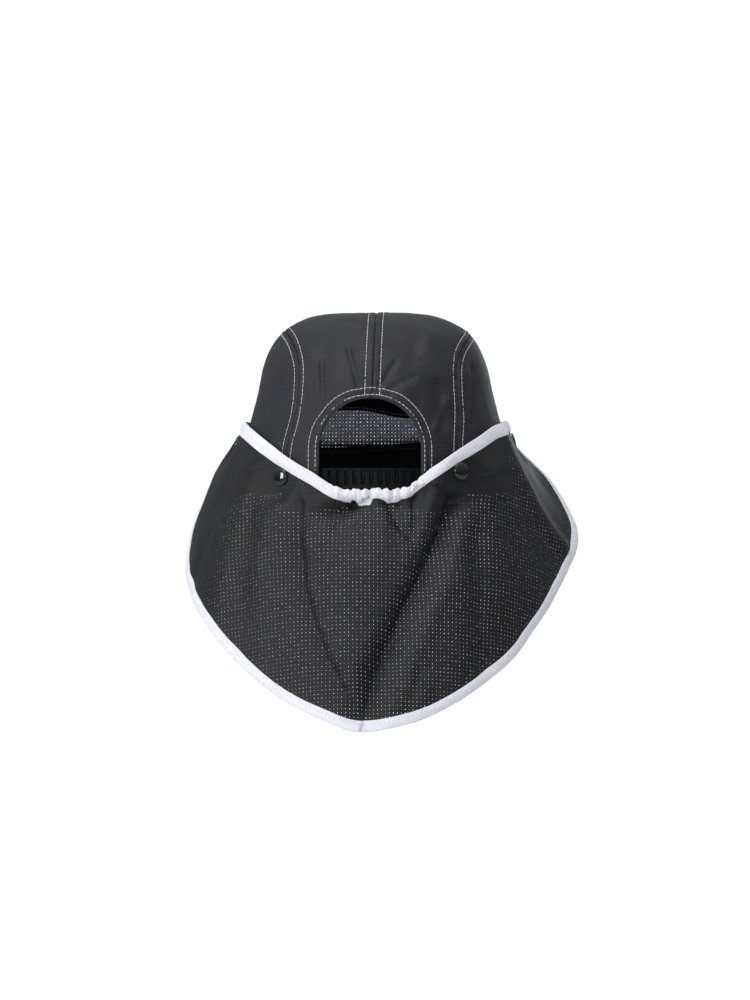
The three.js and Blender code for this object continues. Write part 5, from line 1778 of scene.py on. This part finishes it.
class CAP_OT_stage(CapOperator, bpy.types.Operator):
    """Set the floor, the studio lights and the camera"""

    bl_idname = "cap.stage"
    bl_label = "Stage"

    def build(self, sizes, colours):
        self.floor(sizes, colours)
        self.world()
        for name, place, aim, size, power in STUDIO_LIGHTS:
            self.light(name, place, aim, size, power)
        self.camera(sizes)

    @staticmethod
    def floor(sizes, colours):
        material, t, body = new_material("Pale floor", Roughness=0.9, Specular_IOR_Level=0.1)
        body["Base Color"].default_value = rgba(colours.floor)
        body["Emission Color"].default_value = rgba(colours.floor)
        seen = t.add("ShaderNodeLightPath").outputs["Is Camera Ray"]
        t.feed(body["Emission Strength"], t.math("MULTIPLY", seen, FLOOR_GLOW))
        mesh = bpy.data.meshes.new("floor")
        sides = ((-1, -1), (1, -1), (1, 1), (-1, 1))
        corners = [(x * FLOOR_REACH, y * FLOOR_REACH, -sizes.floor_drop) for x, y in sides]
        mesh.from_pydata(corners, [], [(0, 1, 2, 3)])
        mesh.materials.append(material)
        floor = place_object("floor", mesh)

    @staticmethod
    def world():
        scene = bpy.context.scene
        scene.world = bpy.data.worlds.new("Studio")
        scene.world.use_nodes = True
        t = Tree(scene.world.node_tree)
        nodes = scene.world.node_tree.nodes
        seen = t.add("ShaderNodeBackground", {"Color": (1, 1, 1, 1), "Strength": BACKDROP_STRENGTH})
        glow = nodes["Background"]
        glow.inputs["Strength"].default_value = WORLD_STRENGTH
        up = t.split(t.add("ShaderNodeTexCoord").outputs["Generated"])[2]
        t.feed(glow.inputs["Color"], t.blend(up, rgba(WORLD_HORIZON), rgba(WORLD_SKY)))
        choose = t.add("ShaderNodeMixShader", {"Fac": t.add("ShaderNodeLightPath").outputs["Is Camera Ray"]})
        t.feed(choose.inputs[1], glow.outputs[0])
        t.feed(choose.inputs[2], seen.outputs[0])
        t.feed(nodes["World Output"].inputs["Surface"], choose.outputs[0])
        scene.view_settings.view_transform = "Standard"

    @staticmethod
    def light(name, place, aim, size, power):
        lamp = bpy.data.lights.new(name, "AREA")
        lamp.shape = "RECTANGLE"
        lamp.size, lamp.size_y = size
        lamp.energy = power
        holder = place_object(name, lamp)
        holder.location = place
        holder.rotation_mode = "QUATERNION"
        holder.rotation_quaternion = (Vector(aim) - Vector(place)).to_track_quat("-Z", "Y")

    @staticmethod
    def camera(sizes):
        view = bpy.data.cameras.new("Camera")
        view.sensor_width = SENSOR_WIDTH
        view.lens = LENS_REACH * SENSOR_WIDTH
        holder = place_object("Camera", view)
        holder.location = (CAMERA_ACROSS, -sizes.camera_distance, CAMERA_UP)
        holder.rotation_mode = "QUATERNION"
        holder.rotation_quaternion = Vector((0, 1, 0)).to_track_quat("-Z", "Z")
        bpy.context.scene.camera = holder


# Panel and registration

OPERATORS = (
    CAP_OT_crown, CAP_OT_topstitching, CAP_OT_inside, CAP_OT_strap, CAP_OT_peak,
    CAP_OT_snaps, CAP_OT_flap, CAP_OT_stage,
)


class CAP_PT_panel(bpy.types.Panel):
    """Lists the cap's pieces and settings in the sidebar"""

    bl_label = "Surf Cap"
    bl_idname = "CAP_PT_panel"
    bl_space_type = "VIEW_3D"
    bl_region_type = "UI"
    bl_category = "Surf Cap"

    def draw(self, context):
        for operator in OPERATORS:
            self.layout.operator(operator.bl_idname)
        for group in (context.scene.cap_sizes, context.scene.cap_colours):
            box = self.layout.box()
            for name in group.__annotations__:
                box.prop(group, name)


CLASSES = (CapSizes, CapColours, *OPERATORS, CAP_PT_panel)


def register():
    for cls in CLASSES:
        bpy.utils.register_class(cls)
    bpy.types.Scene.cap_sizes = bpy.props.PointerProperty(type=CapSizes)
    bpy.types.Scene.cap_colours = bpy.props.PointerProperty(type=CapColours)


def unregister():
    del bpy.types.Scene.cap_sizes
    del bpy.types.Scene.cap_colours
    for cls in reversed(CLASSES):
        bpy.utils.unregister_class(cls)


def main():
    register()
    for operator in OPERATORS:
        getattr(bpy.ops.cap, operator.bl_idname.split(".")[1])()


if __name__ == "__main__":
    main()
